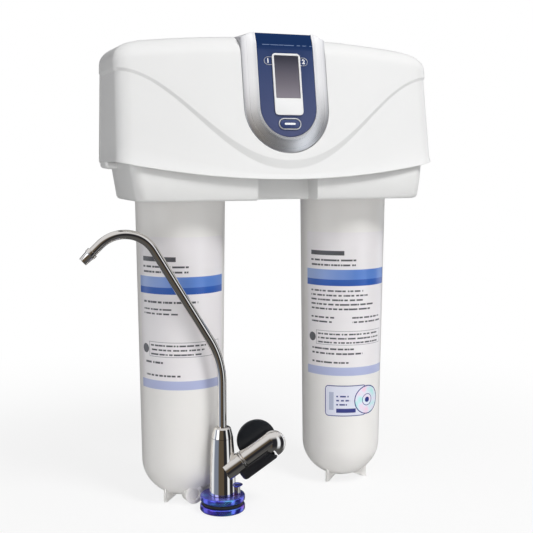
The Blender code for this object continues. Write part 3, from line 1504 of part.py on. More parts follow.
def make_button(pod):
    """The push button, the ring round it and the switch that it presses."""
    ring_seat = PANEL_FRONT - SEAT_GAP
    room = BUTTON_RING + RUN_GAP
    ring_outline = pill(BUTTON_HALF_WIDTH + room, BUTTON_RADIUS + room, BUTTON_HEIGHT)
    ring_mesh = through_face(ring_outline, ring_seat - BUTTON_RING_PROUD, ring_seat, "button_ring")
    ring = place("button_ring", ring_mesh, finish("ring_silver", SILVER, 0.3, 0.8), pod)
    hole_outline = pill(BUTTON_HALF_WIDTH + RUN_GAP, BUTTON_RADIUS + RUN_GAP, BUTTON_HEIGHT)
    hole = through_face(hole_outline, ring_seat - OVERCUT, ring_seat + OVERCUT, "ring_hole")
    combine(ring, place_cutter("ring_hole", hole, pod))
    axis = frame("button_axis", pod, location=(0, PANEL_FRONT - BUTTON_PROUD, BUTTON_HEIGHT))
    flange_front = PANEL_THICKNESS + BUTTON_PROUD + SEAT_GAP
    flange_back = flange_front + BUTTON_FLANGE_THICKNESS
    cap_outline = pill(BUTTON_HALF_WIDTH, BUTTON_RADIUS, 0)
    button = place(
        "push_button",
        through_face(cap_outline, 0, flange_front + BUTTON_FLANGE_THICKNESS / 2, "push_button"),
        finish("button_navy", NAVY, 0.3),
        axis,
    )
    bevel(button, BUTTON_RING / 2, 2, 60)
    wide_outline = pill(BUTTON_HALF_WIDTH + BUTTON_FLANGE, BUTTON_RADIUS + BUTTON_FLANGE, 0)
    flange = through_face(wide_outline, flange_front, flange_back, "button_flange")
    combine(button, place_cutter("button_flange", flange, axis), "UNION")
    board_at = BOARD_FRONT - (PANEL_FRONT - BUTTON_PROUD)
    switch_height = board_at - SEAT_GAP - flange_back - BUTTON_TRAVEL - SEAT_GAP
    place(
        "button_switch",
        rod(SWITCH_RADIUS, 0, switch_height),
        finish("switch_black", BLACK, 0.5),
        pod,
        location=(0, BOARD_FRONT - SEAT_GAP, BUTTON_HEIGHT),
        rotation=(math.pi / 2, 0, 0),
    )


def make_electronics(pod):
    """The circuit board, its carrier, and a battery box with two round cells."""
    place(
        "circuit_board",
        through_face(
            pod_outline(BOARD_HALF_WIDTH, BOARD_HIGH),
            BOARD_FRONT,
            BOARD_FRONT + BOARD_THICKNESS,
            "circuit_board",
        ),
        finish("board_green", (0.02, 0.16, 0.07), 0.5),
        pod,
    )
    reach = POD_INNER_RADIUS - SEAT_GAP
    carrier_outline = pod_outline(reach, BOARD_HIGH)
    place(
        "display_carrier",
        through_face(carrier_outline, CARRIER_FRONT, CARRIER_BACK, "display_carrier"),
        finish("carrier_white", LIGHT_GREY, 0.5),
        pod,
    )
    box_front = CARRIER_BACK + SEAT_GAP
    depth = 2 * BATTERY_RADIUS + 2 * SEAT_GAP + BATTERY_WALL
    half = BATTERY_PITCH + BATTERY_WALL
    low = BATTERY_BOTTOM
    high = low + BATTERY_LENGTH + BATTERY_NUB_HEIGHT + 2 * SEAT_GAP + 2 * BATTERY_WALL
    box = place(
        "battery_box",
        block((-half, box_front, low), (half, box_front + depth, high)),
        finish("battery_box_grey", (0.3, 0.3, 0.31), 0.5),
        pod,
    )
    for index, x in enumerate((-BATTERY_PITCH / 2, BATTERY_PITCH / 2)):
        reach = BATTERY_RADIUS + SEAT_GAP
        bay = block(
            (x - reach, box_front + BATTERY_WALL, low + BATTERY_WALL),
            (x + reach, box_front + depth + OVERCUT, high - BATTERY_WALL),
        )
        combine(box, place_cutter("battery_bay_{}".format(index + 1), bay, pod))
        cell_low = low + BATTERY_WALL + SEAT_GAP
        cell_high = cell_low + BATTERY_LENGTH
        nub = cell_high + BATTERY_NUB_HEIGHT
        profile = [
            (0, nub),
            (BATTERY_NUB_RADIUS, nub),
            (BATTERY_NUB_RADIUS, cell_high),
            (BATTERY_RADIUS, cell_high),
            (BATTERY_RADIUS, cell_low),
            (0, cell_low),
        ]
        cell = place(
            "battery_{}".format(index + 1),
            turned(profile),
            finish("battery_copper", (0.55, 0.28, 0.12), 0.35, 0.6),
            pod,
            location=(x, box_front + BATTERY_WALL + SEAT_GAP + BATTERY_RADIUS, 0),
        )
        turn(cell, TINY_SIDES)


def make_display_pod(cover, root):
    """The whole display pod, set in a notch through the front and roof of the cover."""
    pod = frame(
        "display_pod_frame",
        root,
        location=(0, POD_FRONT, POD_HEIGHT),
        rotation=(-FRONT_SLANT, 0, 0),
    )
    roof_back = pod_path()[-1].x
    notch = through_face(
        pod_outline(POD_OUTER_RADIUS + SEAT_GAP, POD_CREASE + POD_ROOF_LENGTH),
        -POD_PROUD - OVERCUT,
        roof_back + SEAT_GAP,
        "pod_notch",
    )
    combine(cover, place_cutter("pod_notch", notch, pod))
    make_bezel(pod)
    make_panel(pod)
    make_window(pod)
    make_button(pod)
    make_electronics(pod)


def ring_profile(outer, inner, low, high, rounding):
    """A flat ring with a rounded rim."""
    points = [(inner, high)]
    points += [(outer - rounding + x, high - rounding + z) for x, z in arc((0, 0), rounding, 90, 0, 2)]
    points += [(outer - rounding + x, low + rounding + z) for x, z in arc((0, 0), rounding, 0, -90, 2)]
    points.append((inner, low))
    return points


def make_tap_base(tap):
    """Two round flanges with a rubber seal between them."""
    blue = finish("base_blue", (0.10, 0.16, 0.75), 0.12, 0.6)
    rubber = finish("seal_rubber", BLACK, 0.6)
    upper = ring_profile(BASE_RADIUS, TAP_BORE_RADIUS, BASE_UPPER_BOTTOM, BASE_TOP, BASE_ROUND)
    turn(place("tap_upper_flange", turned(upper, closed=True), blue, tap))
    middle = ring_profile(
        BASE_RADIUS - BASE_SEAL_INSET,
        TAP_BORE_RADIUS,
        BASE_SEAL_BOTTOM,
        BASE_SEAL_BOTTOM + BASE_SEAL_HEIGHT,
        BASE_ROUND / 4,
    )
    turn(place("tap_base_seal", turned(middle, closed=True), rubber, tap))
    lower = ring_profile(BASE_RADIUS, TAP_BORE_RADIUS, 0, BASE_LOWER_HEIGHT, BASE_ROUND)
    turn(place("tap_lower_flange", turned(lower, closed=True), blue, tap))


def make_tap_body(tap, branch):
    """The column with its slanted branch, bored for the spout and the valve."""
    chrome = finish("chrome", (0.72, 0.71, 0.70), 0.07, 1.0)
    profile = [
        (0, COLUMN_TOP),
        (COLUMN_NECK_RADIUS, COLUMN_TOP),
        (COLUMN_SHOULDER_RADIUS, COLUMN_SHOULDER),
        (COLUMN_WAIST_RADIUS, COLUMN_WAIST),
        (COLUMN_FOOT_RADIUS, COLUMN_BOTTOM),
        (0, COLUMN_BOTTOM),
    ]
    body = turn(place("tap_body", turned(profile), chrome, tap))
    side = rod(BRANCH_RADIUS, BRANCH_START, BRANCH_END, BRANCH_SIDES)
    combine(body, place_cutter("tap_branch", side, branch), "UNION")
    bore = rod(TAP_BORE_RADIUS, COLUMN_BOTTOM - OVERCUT, COLUMN_TOP + OVERCUT)
    combine(body, place_cutter("tap_bore", bore, tap))
    way = rod(BRANCH_BORE_RADIUS, BRANCH_BORE_START, BRANCH_END + OVERCUT)
    combine(body, place_cutter("branch_bore", way, branch))
    inner = STEM_RADIUS + SEAT_GAP
    bonnet = ring_profile(BONNET_RADIUS, inner, BONNET_START, BONNET_END, BONNET_ROUND)
    turn(place("valve_bonnet", turned(bonnet, closed=True), chrome, branch), SMALL_SIDES)


def spout_route():
    """Up the column, leaning over, round the top bend and down towards the nozzle."""
    points = [Vector((0, 0, TUBE_START)), Vector((0, 0, TUBE_STRAIGHT_TOP))]

    def turn_to(start, end, radius, steps):
        here = points[-1].copy()
        for i in range(1, steps + 1):
            lean = start + (end - start) * i / steps
            x = here.x - radius * (math.cos(start) - math.cos(lean))
            z = here.z + radius * (math.sin(lean) - math.sin(start))
            points.append(Vector((x, 0, z)))

    def go(length, lean):
        here = points[-1]
        points.append(here + length * Vector((-math.sin(lean), 0, math.cos(lean))))

    turn_to(0, TUBE_LEAN, TUBE_LOW_BEND, TUBE_LOW_STEPS)
    go(TUBE_SLANT_LENGTH, TUBE_LEAN)
    turn_to(TUBE_LEAN, TUBE_END_LEAN, TUBE_HIGH_BEND, TUBE_HIGH_STEPS)
    go(TUBE_TAIL, TUBE_END_LEAN)
    return points


def make_spout(tap):
    """The tube, its nozzle, the nut at the column's top and the seal inside the nut."""
    chrome = finish("chrome", (0.72, 0.71, 0.70), 0.07, 1.0)
    axis = frame("spout_axis", tap)
    route = spout_route()
    spout = place("spout_tube", tube([tuple(p) for p in route], TUBE_RADIUS, "spout_tube"), chrome, axis)
    along = (route[-1] - route[-2]).normalized()
    mouth = frame("nozzle_frame", axis, location=route[-1])
    mouth.rotation_euler = along.to_track_quat("Z", "Y").to_euler()
    bore = rod(TUBE_BORE_RADIUS, -TUBE_BORE_DEPTH, OVERCUT, TINY_SIDES)
    combine(spout, place_cutter("spout_bore", bore, mouth))
    start = -NOZZLE_CUP
    reach = start + NOZZLE_LENGTH
    inner = TUBE_RADIUS + SEAT_GAP
    profile = [
        (TUBE_BORE_RADIUS, reach),
        (NOZZLE_TIP_RADIUS, reach),
        ((NOZZLE_TIP_RADIUS + NOZZLE_RADIUS) / 2, start + NOZZLE_BAND_LENGTH + NOZZLE_STEP_LENGTH),
        (NOZZLE_RADIUS, start + NOZZLE_BAND_LENGTH),
        (NOZZLE_RADIUS, start),
        (inner, start),
        (inner, SEAT_GAP),
        (TUBE_BORE_RADIUS, SEAT_GAP),
    ]
    turn(place("spout_nozzle", turned(profile, closed=True), chrome, mouth), SMALL_SIDES)
    seal_radius = TUBE_RADIUS + SEAT_GAP / 2 + TUBE_SEAL_RADIUS
    room = seal_radius + TUBE_SEAL_RADIUS + SEAT_GAP / 2
    seal_low = TUBE_SEAL_HEIGHT - TUBE_SEAL_RADIUS - SEAT_GAP
    nut_low = COLUMN_TOP + SEAT_GAP
    side = NUT_TOP_RADIUS - NUT_ROUND
    profile = [(room, NUT_TOP)]
    profile += arc((side, NUT_TOP - NUT_ROUND), NUT_ROUND, 90, 10, 3)
    profile += [
        (COLUMN_NECK_RADIUS, nut_low),
        (TAP_BORE_RADIUS, nut_low),
        (TAP_BORE_RADIUS, seal_low),
        (room, seal_low),
    ]
    turn(place("spout_nut", turned(profile, closed=True), chrome, tap), SMALL_SIDES)
    make_ring_seal("spout_seal", seal_radius, TUBE_SEAL_HEIGHT, TUBE_SEAL_RADIUS, axis, SMALL_SIDES)


def handle_ball(gap):
    """The flattened ball at the handle's end, larger by a gap where it is used to cut."""
    form = bmesh.new()
    bmesh.ops.create_uvsphere(form, u_segments=SMALL_SIDES, v_segments=TINY_SIDES, radius=1.0)
    size = (HANDLE_END_RADIUS + gap, HANDLE_END_THICKNESS / 2 + gap, HANDLE_END_RADIUS + gap)
    bmesh.ops.scale(form, vec=size, verts=form.verts)
    ball = bpy.data.meshes.new("handle_end")
    form.to_mesh(ball)
    form.free()
    return crisp(ball)


def make_lever(branch):
    """The handle with its stem, grip, paddle and screw, all on the branch's axis."""
    chrome = finish("chrome", (0.72, 0.71, 0.70), 0.07, 1.0)
    black = finish("grip_black", BLACK, 0.35)
    axis = frame("lever_axis", branch)
    handle = place("lever_handle", rod(HANDLE_RADIUS, HANDLE_START, HANDLE_END, SMALL_SIDES), chrome, axis)
    end = place_cutter("handle_end", handle_ball(0), axis, location=(HANDLE_END_DROP, 0, HANDLE_END))
    combine(handle, end, "UNION")
    grip_end = GRIP_START + GRIP_LENGTH
    room = block(
        (HANDLE_RADIUS + SEAT_GAP, -HANDLE_END_RADIUS, GRIP_START),
        (HANDLE_END_RADIUS * 2, HANDLE_END_RADIUS, grip_end + SEAT_GAP),
    )
    combine(handle, place_cutter("grip_room", room, axis))
    socket = rod(STEM_RADIUS + SEAT_GAP, HANDLE_START - OVERCUT, HANDLE_START + HANDLE_SOCKET_DEPTH)
    combine(handle, place_cutter("stem_socket", socket, axis))
    stem = rod(STEM_RADIUS, STEM_START, HANDLE_START + STEM_REACH, SMALL_SIDES)
    place("valve_stem", stem, finish("brass", (0.75, 0.55, 0.25), 0.3, 1.0), axis)
    grip = place(
        "lever_grip",
        block(
            (HANDLE_RADIUS / 2, -GRIP_THICKNESS / 2, GRIP_START),
            (GRIP_BOTTOM, GRIP_THICKNESS / 2, grip_end),
        ),
        black,
        axis,
    )
    bevel(grip, GRIP_ROUND, 3)
    trough = rod(HANDLE_RADIUS + SEAT_GAP, GRIP_START - OVERCUT, grip_end + OVERCUT, SMALL_SIDES)
    combine(grip, place_cutter("grip_trough", trough, axis))
    collar_room = rod(BRANCH_RADIUS + RUN_GAP, GRIP_START - OVERCUT, HANDLE_START, SMALL_SIDES)
    combine(grip, place_cutter("collar_room", collar_room, axis))
    hollow = handle_ball(2 * SEAT_GAP)
    combine(grip, place_cutter("grip_hollow", hollow, axis, location=(HANDLE_END_DROP, 0, HANDLE_END)))
    seat = HANDLE_END_THICKNESS / 2 + SEAT_GAP
    paddle = place(
        "lever_paddle",
        rod(PADDLE_RADIUS, 0, PADDLE_THICKNESS, ROUND_SIDES),
        black,
        axis,
        location=(-PADDLE_ACROSS, seat, PADDLE_ALONG),
        rotation=(-math.pi / 2, 0, 0),
    )
    bevel(paddle, PADDLE_ROUND, 2)
    spot = frame(
        "paddle_screw_axis",
        axis,
        location=(0, seat + PADDLE_THICKNESS, PADDLE_ALONG),
        rotation=(-math.pi / 2, 0, 0),
    )
    depth = -PADDLE_THICKNESS - PADDLE_SCREW_DEPTH
    profile = [
        (0, SEAT_GAP + PADDLE_SCREW_HEAD_HEIGHT),
        (PADDLE_SCREW_HEAD_RADIUS, SEAT_GAP + PADDLE_SCREW_HEAD_HEIGHT),
        (PADDLE_SCREW_HEAD_RADIUS, SEAT_GAP),
        (PADDLE_SCREW_RADIUS, SEAT_GAP),
        (PADDLE_SCREW_RADIUS, depth),
        (0, depth),
    ]
    turn(place("paddle_screw", turned(profile), finish("screw_steel", STEEL, 0.3, 1.0), spot), TINY_SIDES)
    hole = rod(PADDLE_SCREW_RADIUS + SEAT_GAP, depth - SEAT_GAP, OVERCUT, TINY_SIDES)
    hole_cutter = place_cutter("paddle_screw_hole", hole, spot)
    combine(paddle, hole_cutter)
    combine(handle, hole_cutter)


def make_tap(root):
    """The drinking water tap that stands beside the filter."""
    tap = frame("tap_frame", root, location=(TAP_X, TAP_Y, 0), rotation=(0, 0, TAP_TURN))
    branch = frame(
        "branch_frame",
        tap,
        location=(0, -BRANCH_OFFSET, BRANCH_HEIGHT),
        rotation=(0, math.pi / 2 - BRANCH_RISE, 0),
    )
    make_tap_base(tap)
    make_tap_body(tap, branch)
    make_spout(tap)
    make_lever(branch)


def centre_on_floor(root):
    """Stand the set on the floor with the middle of its own box over the origin."""
    bpy.context.view_layer.update()
    graph = bpy.context.evaluated_depsgraph_get()
    low = Vector((math.inf,) * 3)
    high = Vector((-math.inf,) * 3)
    for piece in parts.objects:
        if piece.type != "MESH":
            continue
        shape = piece.evaluated_get(graph)
        mesh = shape.to_mesh()
        for vertex in mesh.vertices:
            point = shape.matrix_world @ vertex.co
            low = Vector(map(min, low, point))
            high = Vector(map(max, high, point))
        shape.to_mesh_clear()
    middle = (low + high) / 2
    root.location = (-middle.x, -middle.y, -low.z)
    bpy.context.view_layer.update()
    size = high - low
    print("size in millimetres", [round(value * 1000, 2) for value in size])
    print("moved by", [round(value, 6) for value in root.location])


def main():
    global parts, cutters
    clear_scene()
    parts = bpy.data.collections.new("under_sink_water_filter")
    cutters = bpy.data.collections.new("cutters")
    bpy.context.scene.collection.children.link(parts)
    bpy.context.scene.collection.children.link(cutters)
    root = frame("filter_set")
    make_cartridge("left", -HALF_SPACING, True, (0.85, 0.84, 0.80), root)
    make_cartridge("right", HALF_SPACING, False, (0.05, 0.05, 0.05), root)
    make_manifold("left", -HALF_SPACING, 1, root)
    make_manifold("right", HALF_SPACING, -1, root)
    make_cross_line(root)
    make_feed_line("inlet", -1, root)
    make_feed_line("outlet", 1, root)
    cover = make_head_cover(root)
    plate = make_back_plate(root)
    make_manifold_screws(plate, root)
    make_tray(root)
    make_display_pod(cover, root)
    make_tap(root)
    centre_on_floor(root)


main()
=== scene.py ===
# %% [markdown]
# # An under sink water filter and its tap
# The set has a wide white head with a wave across its front, a display pod in the wave's middle,
# two cartridges below, and a slim chrome tap beside them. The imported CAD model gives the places,
# and the skins here keep its sizes. This lesson dresses that model: it gives the round parts
# smooth skins, the labels their print, and each surface its finish.

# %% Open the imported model
import math

import bmesh
import bpy
from mathutils import Matrix, Vector


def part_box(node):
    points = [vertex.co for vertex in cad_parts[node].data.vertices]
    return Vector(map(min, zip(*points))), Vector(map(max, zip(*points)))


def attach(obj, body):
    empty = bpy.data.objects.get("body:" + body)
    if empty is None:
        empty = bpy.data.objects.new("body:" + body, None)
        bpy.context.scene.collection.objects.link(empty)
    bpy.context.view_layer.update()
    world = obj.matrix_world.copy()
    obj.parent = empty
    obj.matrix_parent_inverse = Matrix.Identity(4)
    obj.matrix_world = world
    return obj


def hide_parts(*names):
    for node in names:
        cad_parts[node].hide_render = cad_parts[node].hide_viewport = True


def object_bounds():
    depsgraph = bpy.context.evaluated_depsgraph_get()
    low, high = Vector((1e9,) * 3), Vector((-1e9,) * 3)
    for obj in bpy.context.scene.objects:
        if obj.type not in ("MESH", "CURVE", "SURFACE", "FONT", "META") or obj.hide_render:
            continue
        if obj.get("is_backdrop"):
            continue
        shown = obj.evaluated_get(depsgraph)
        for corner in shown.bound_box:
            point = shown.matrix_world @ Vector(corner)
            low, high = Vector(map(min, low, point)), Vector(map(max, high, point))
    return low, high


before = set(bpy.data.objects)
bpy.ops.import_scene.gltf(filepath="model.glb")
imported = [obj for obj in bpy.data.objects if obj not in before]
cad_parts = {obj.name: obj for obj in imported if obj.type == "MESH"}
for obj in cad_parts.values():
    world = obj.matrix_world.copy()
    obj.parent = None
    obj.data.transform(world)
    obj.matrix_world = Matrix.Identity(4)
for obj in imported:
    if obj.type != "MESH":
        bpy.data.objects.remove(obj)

cad_low, cad_high = (Vector(corner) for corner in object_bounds())
print("box in millimetres", [round(side * 1000, 1) for side in cad_high - cad_low])

# %% [markdown]
# ## Where things are
# The cartridges, the pod and the tap each have a line or a plane of their own. The CAD boxes give
# the two cartridge axes and the tap's axis, so nothing here needs a second copy of those places.

# %% Find the axes
def box_middle(node):
    """The middle of a CAD node's box, at floor level."""
    low, high = (Vector(corner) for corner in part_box(node))
    middle = (low + high) / 2
    return Vector((middle.x, middle.y, 0.0))


left_axis = box_middle("left_cartridge_shell")
right_axis = box_middle("right_cartridge_shell")
tap_axis = box_middle("tap_lower_flange")
head_middle = (left_axis + right_axis) / 2
print("cartridge axes", left_axis, right_axis)
print("tap axis", tap_axis)

# %% [markdown]
# ## Small tools for making meshes
# Most pieces here are either turned, drawn from slices, or cut from a simpler form. Short helpers
# do that. Each returns plain mesh data, and a piece gets its object only at the end.

# %% Turning, slicing and cutting
SMOOTH_ANGLE = math.radians(32)
EASE_ANGLE = math.radians(38)
ROUND_SIDES = 128
SMALL_SIDES = 64
AIR = 0.0003


def smooth(mesh):
    """Shade a mesh smoothly, but keep its sharp edges."""
    mesh.polygons.foreach_set("use_smooth", [True] * len(mesh.polygons))
    mesh.set_sharp_from_angle(angle=SMOOTH_ANGLE)
    return mesh


def from_form(form, place=None, outwards=True):
    """Turn a bmesh into mesh data, put in place, with its faces pointing outwards."""
    if outwards:
        bmesh.ops.recalc_face_normals(form, faces=form.faces)
    mesh = bpy.data.meshes.new("form")
    form.to_mesh(mesh)
    form.free()
    if place is not None:
        mesh.transform(place)
    return smooth(mesh)


def slices(rings, place=None):
    """Join rings of points into a skin, with a cap at each end."""
    form = bmesh.new()
    lines = [[form.verts.new(point) for point in ring] for ring in rings]
    for near, far in zip(lines, lines[1:]):
        for i in range(len(near)):
            j = (i + 1) % len(near)
            form.faces.new((near[i], near[j], far[j], far[i]))
    form.faces.new(lines[0])
    form.faces.new(lines[-1])
    return from_form(form, place)


def brick(low, high, place=None):
    """A box between two corners."""
    corners = [(low[0], low[1]), (high[0], low[1]), (high[0], high[1]), (low[0], high[1])]
    return slices([[(x, y, z) for x, y in corners] for z in (low[2], high[2])], place)


def turned(profile, sides=ROUND_SIDES, place=None, closed=False):
    """Turn a profile of (radius, height) pairs about the Z axis."""
    form = bmesh.new()
    turns = [2 * math.pi * i / sides for i in range(sides)]
    rings = []
    for radius, height in profile:
        spots = turns if radius else [0.0]
        rings.append([form.verts.new((radius * math.cos(a), radius * math.sin(a), height)) for a in spots])
    for low, high in zip(rings, rings[1:] + (rings[:1] if closed else [])):
        for i in range(sides):
            j = (i + 1) % sides
            corners = [low[i % len(low)], low[j % len(low)], high[j % len(high)], high[i % len(high)]]
            form.faces.new(list(dict.fromkeys(corners)))
    return from_form(form, place)


def rod(radius, low, high, place):
    """A plain round bar."""
    return turned([(0, low), (radius, low), (radius, high), (0, high)], SMALL_SIDES, place)


def put(name, data):
    """An object in the scene."""
    piece = bpy.data.objects.new(name, data)
    bpy.context.scene.collection.objects.link(piece)
    return piece


def settled(data, kind=None, inputs=(), **settings):
    """The plain mesh of some data, after one modifier if a kind is named."""
    piece = put("loose", data)
    if kind:
        step = piece.modifiers.new("step", kind)
        for name, value in settings.items():
            setattr(step, name, value)
        for name, value in dict(inputs).items():
            step[name] = value
    bpy.context.view_layer.update()
    graph = bpy.context.evaluated_depsgraph_get()
    mesh = bpy.data.meshes.new_from_object(piece.evaluated_get(graph), depsgraph=graph)
    bpy.data.objects.remove(piece)
    return mesh


def carve(mesh, tool, operation="DIFFERENCE"):
    """Cut, join or intersect a mesh with a second one."""
    other = put("tool", tool)
    result = settled(mesh, "BOOLEAN", operation=operation, solver="EXACT", object=other)
    bpy.data.objects.remove(other)
    return smooth(result)


def eased(mesh, width, segments):
    """Round a mesh's sharp edges as a mould does."""
    return smooth(settled(
        mesh, "BEVEL", width=width, segments=segments,
        limit_method="ANGLE", angle_limit=EASE_ANGLE, harden_normals=False,
    ))


def add_piece(name, mesh, finish, *cad_nodes, body="filter_head", slot=None):
    """Add a finished piece that rides on a body and stands for its CAD nodes."""
    mesh.name = name
    mesh.materials.clear()
    mesh.materials.append(finish)
    piece = put(name, mesh)
    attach(piece, body)
    if cad_nodes:
        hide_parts(*cad_nodes)
    print(name, len(mesh.polygons), "faces")


def arc(centre, radius, start, end, steps):
    """Points along an arc in a plane, with angles in degrees."""
    angles = [math.radians(start + (end - start) * i / steps) for i in range(steps + 1)]
    return [(centre[0] + radius * math.cos(a), centre[1] + radius * math.sin(a)) for a in angles]


def pill(half_width, radius, height, steps=20):
    """The outline of a bar with fully round ends."""
    x = half_width - radius
    return arc((x, height), radius, -90, 90, steps) + arc((-x, height), radius, 90, 270, steps)


# %% [markdown]
# ## Finishes
# A finish is a Principled shader with two things that moulded and plated parts always have: a
# colour or a gloss that drifts a little over the surface, and a very fine relief. Both come from
# noise on Object coordinates. The constants stay on the shader's own sockets. A socket knows its
# tree, so the helpers below only take sockets and plain values.

# %% Tools for finishes
COAT_ROUGHNESS = 0.06
WHITE = (1.0, 1.0, 1.0)


def feed(target, value):
    """Link a socket to an input, or give the input a plain value."""
    if isinstance(value, bpy.types.NodeSocket):
        target.id_data.links.new(value, target)
    elif target.type == "RGBA":
        target.default_value = (*value, 1)
    else:
        target.default_value = value


def add_node(kind, inputs, tree=None, **settings):
    """Add a node with its settings and inputs, in the tree of its first linked input."""
    if tree is None:
        tree = next(value.id_data for value in inputs.values() if isinstance(value, bpy.types.NodeSocket))
    node = tree.nodes.new(kind)
    for name, value in settings.items():
        setattr(node, name, value)
    for name, value in inputs.items():
        feed(node.inputs[name], value)
    return node


def coordinates(tree, kind="Object"):
    """The Object coordinates are metres in the model's frame."""
    return add_node("ShaderNodeTexCoord", {}, tree).outputs[kind]


def start_finish(name, colour, roughness, metallic=0.0, coat=0.0):
    """A new material with the constants that are the same all over."""
    material = bpy.data.materials.new(name)
    material.use_nodes = True
    shader = material.node_tree.nodes["Principled BSDF"]
    for title, value in (
        ("Base Color", colour), ("Roughness", roughness), ("Metallic", metallic),
        ("Coat Weight", coat), ("Coat Roughness", COAT_ROUGHNESS),
    ):
        feed(shader.inputs[title], value)
    material.diffuse_color = (*colour, 1)
    return material, shader, coordinates(material.node_tree)


def axes(vector):
    """The X, Y and Z of a vector."""
    return add_node("ShaderNodeSeparateXYZ", {0: vector}).outputs.values()


def noise(where, scale, detail=3.0):
    """A noise pattern, as a socket from 0 to 1."""
    inputs = {"Scale": scale, "Detail": detail, "Vector": where}
    return add_node("ShaderNodeTexNoise", inputs).outputs["Fac"]


def streaks(value, scale, detail):
    """Noise along a single number."""
    inputs = {"Scale": scale, "Detail": detail, "W": value}
    return add_node("ShaderNodeTexNoise", inputs, noise_dimensions="1D").outputs["Fac"]


def ramp(factor, stops):
    """Colours along a socket, as (place, colour) pairs."""
    node = add_node("ShaderNodeValToRGB", {"Fac": factor})
    points = node.color_ramp.elements
    while len(points) < len(stops):
        points.new(0.5)
    for point, (place, colour) in zip(points, stops):
        point.position = place
        point.color = (*colour, 1)
    return node.outputs["Color"]


def number(operation, *values):
    """One step of arithmetic on sockets and plain numbers."""
    return add_node("ShaderNodeMath", dict(enumerate(values)), operation=operation).outputs[0]


def stretch(value, low, high, start=0.0, end=1.0, kind="LINEAR"):
    """Carry a value from one range into another."""
    inputs = {"Value": value, "From Min": low, "From Max": high, "To Min": start, "To Max": end}
    return add_node("ShaderNodeMapRange", inputs, interpolation_type=kind).outputs["Result"]


def reach_of(first, second):
    """The length of a flat vector."""
    return number("SQRT", number("ADD", *(number("MULTIPLY", side, side) for side in (first, second))))


def inside(value, low, high):
    """One where a value lies between two limits, and none elsewhere."""
    return number("MULTIPLY", number("GREATER_THAN", value, low), number("LESS_THAN", value, high))


def blend(factor, first, second, kind="MIX"):
    """Mix two colours, each a socket or a plain colour."""
    inputs = {"Factor": factor, "A": first, "B": second}
    return add_node("ShaderNodeMix", inputs, data_type="RGBA", blend_type=kind).outputs["Result"]


def relief(shader, height, distance):
    """A bump from a height pattern, with its depth in metres."""
    node = add_node("ShaderNodeBump", {"Distance": distance, "Strength": 1.0, "Height": height})
    feed(shader.inputs["Normal"], node.outputs["Normal"])


def shade_of(colour, share):
    """The same colour, lighter or darker by a share."""
    return tuple(channel * share for channel in colour)


# %% Moulded plastic and plated metal
DRIFT_SCALE = 14.0
GLOSS_SCALE = 60.0
GLOSS_SPAN = 0.10
GRAIN_SCALE = 900.0
SMEAR_SCALE = 90.0
DENT_SCALE = 35.0
FINE_GRAIN = 0.00002
FAINT_GRAIN = 0.00001


def moulded(name, colour, roughness, drift=0.03, grain=FINE_GRAIN, coat=0.0):
    """Moulded plastic: a faint drift of colour, uneven gloss and a fine grain."""
    material, shader, where = start_finish(name, colour, roughness, coat=coat)
    stops = [(0.3, shade_of(colour, 1 - drift)), (0.7, shade_of(colour, 1 + drift / 2))]
    feed(shader.inputs["Base Color"], ramp(noise(where, DRIFT_SCALE), stops))
    gloss = number("MULTIPLY_ADD", noise(where, GLOSS_SCALE), GLOSS_SPAN, roughness - GLOSS_SPAN / 2)
    feed(shader.inputs["Roughness"], gloss)
    relief(shader, noise(where, GRAIN_SCALE, 2.0), grain)
    return material


def plated(name, colour, roughness, smear):
    """Plated metal: even colour, with faint wiping marks in the gloss."""
    material, shader, where = start_finish(name, colour, roughness, metallic=1.0)
    gloss = number("MULTIPLY_ADD", noise(where, SMEAR_SCALE, 5.0), smear, roughness - smear / 2)
    feed(shader.inputs["Roughness"], gloss)
    relief(shader, noise(where, DENT_SCALE, 1.0), FINE_GRAIN)
    return material


cover_finish = moulded("cover_white", (0.86, 0.86, 0.855), 0.34, drift=0.012)
tray_finish = moulded("tray_white", (0.80, 0.80, 0.79), 0.42, drift=0.02)
plate_finish = moulded("plate_white", (0.78, 0.78, 0.77), 0.45, drift=0.02)
canister_finish = moulded("canister_white", (0.80, 0.785, 0.765), 0.38, drift=0.02, grain=0.00003)
cap_finish = moulded("cap_white", (0.80, 0.79, 0.78), 0.45)
inner_finish = moulded("inner_plastic", (0.76, 0.76, 0.75), 0.5)
pipe_finish = moulded("pipe_plastic", (0.84, 0.84, 0.83), 0.35)
collet_finish = moulded("collet_blue", (0.06, 0.16, 0.55), 0.4, drift=0.06)
rubber_finish = moulded("seal_rubber", (0.02, 0.02, 0.021), 0.62, drift=0.15, grain=0.00004)
frame_finish = moulded("frame_white", (0.87, 0.87, 0.87), 0.22, drift=0.01, coat=0.3)
grip_finish = moulded("grip_black", (0.012, 0.012, 0.014), 0.24, drift=0.2, grain=0.000015, coat=0.4)
paddle_finish = moulded("paddle_black", (0.010, 0.012, 0.016), 0.34, drift=0.2, grain=0.00003)
board_finish = moulded("board_green", (0.015, 0.13, 0.05), 0.4, drift=0.2)
dark_finish = moulded("dark_plastic", (0.03, 0.03, 0.032), 0.5, drift=0.1)
grey_finish = moulded("grey_plastic", (0.25, 0.25, 0.26), 0.5, drift=0.05)
rotor_finish = moulded("rotor_plastic", (0.2, 0.35, 0.75), 0.35)
chrome_finish = plated("chrome", (0.80, 0.77, 0.73), 0.035, smear=0.02)
steel_finish = plated("screw_steel", (0.58, 0.57, 0.56), 0.26, smear=0.10)
brass_finish = plated("brass", (0.75, 0.55, 0.25), 0.25, smear=0.08)
copper_finish = plated("battery_copper", (0.55, 0.28, 0.12), 0.35, smear=0.08)
print(len(bpy.data.materials), "materials so far")

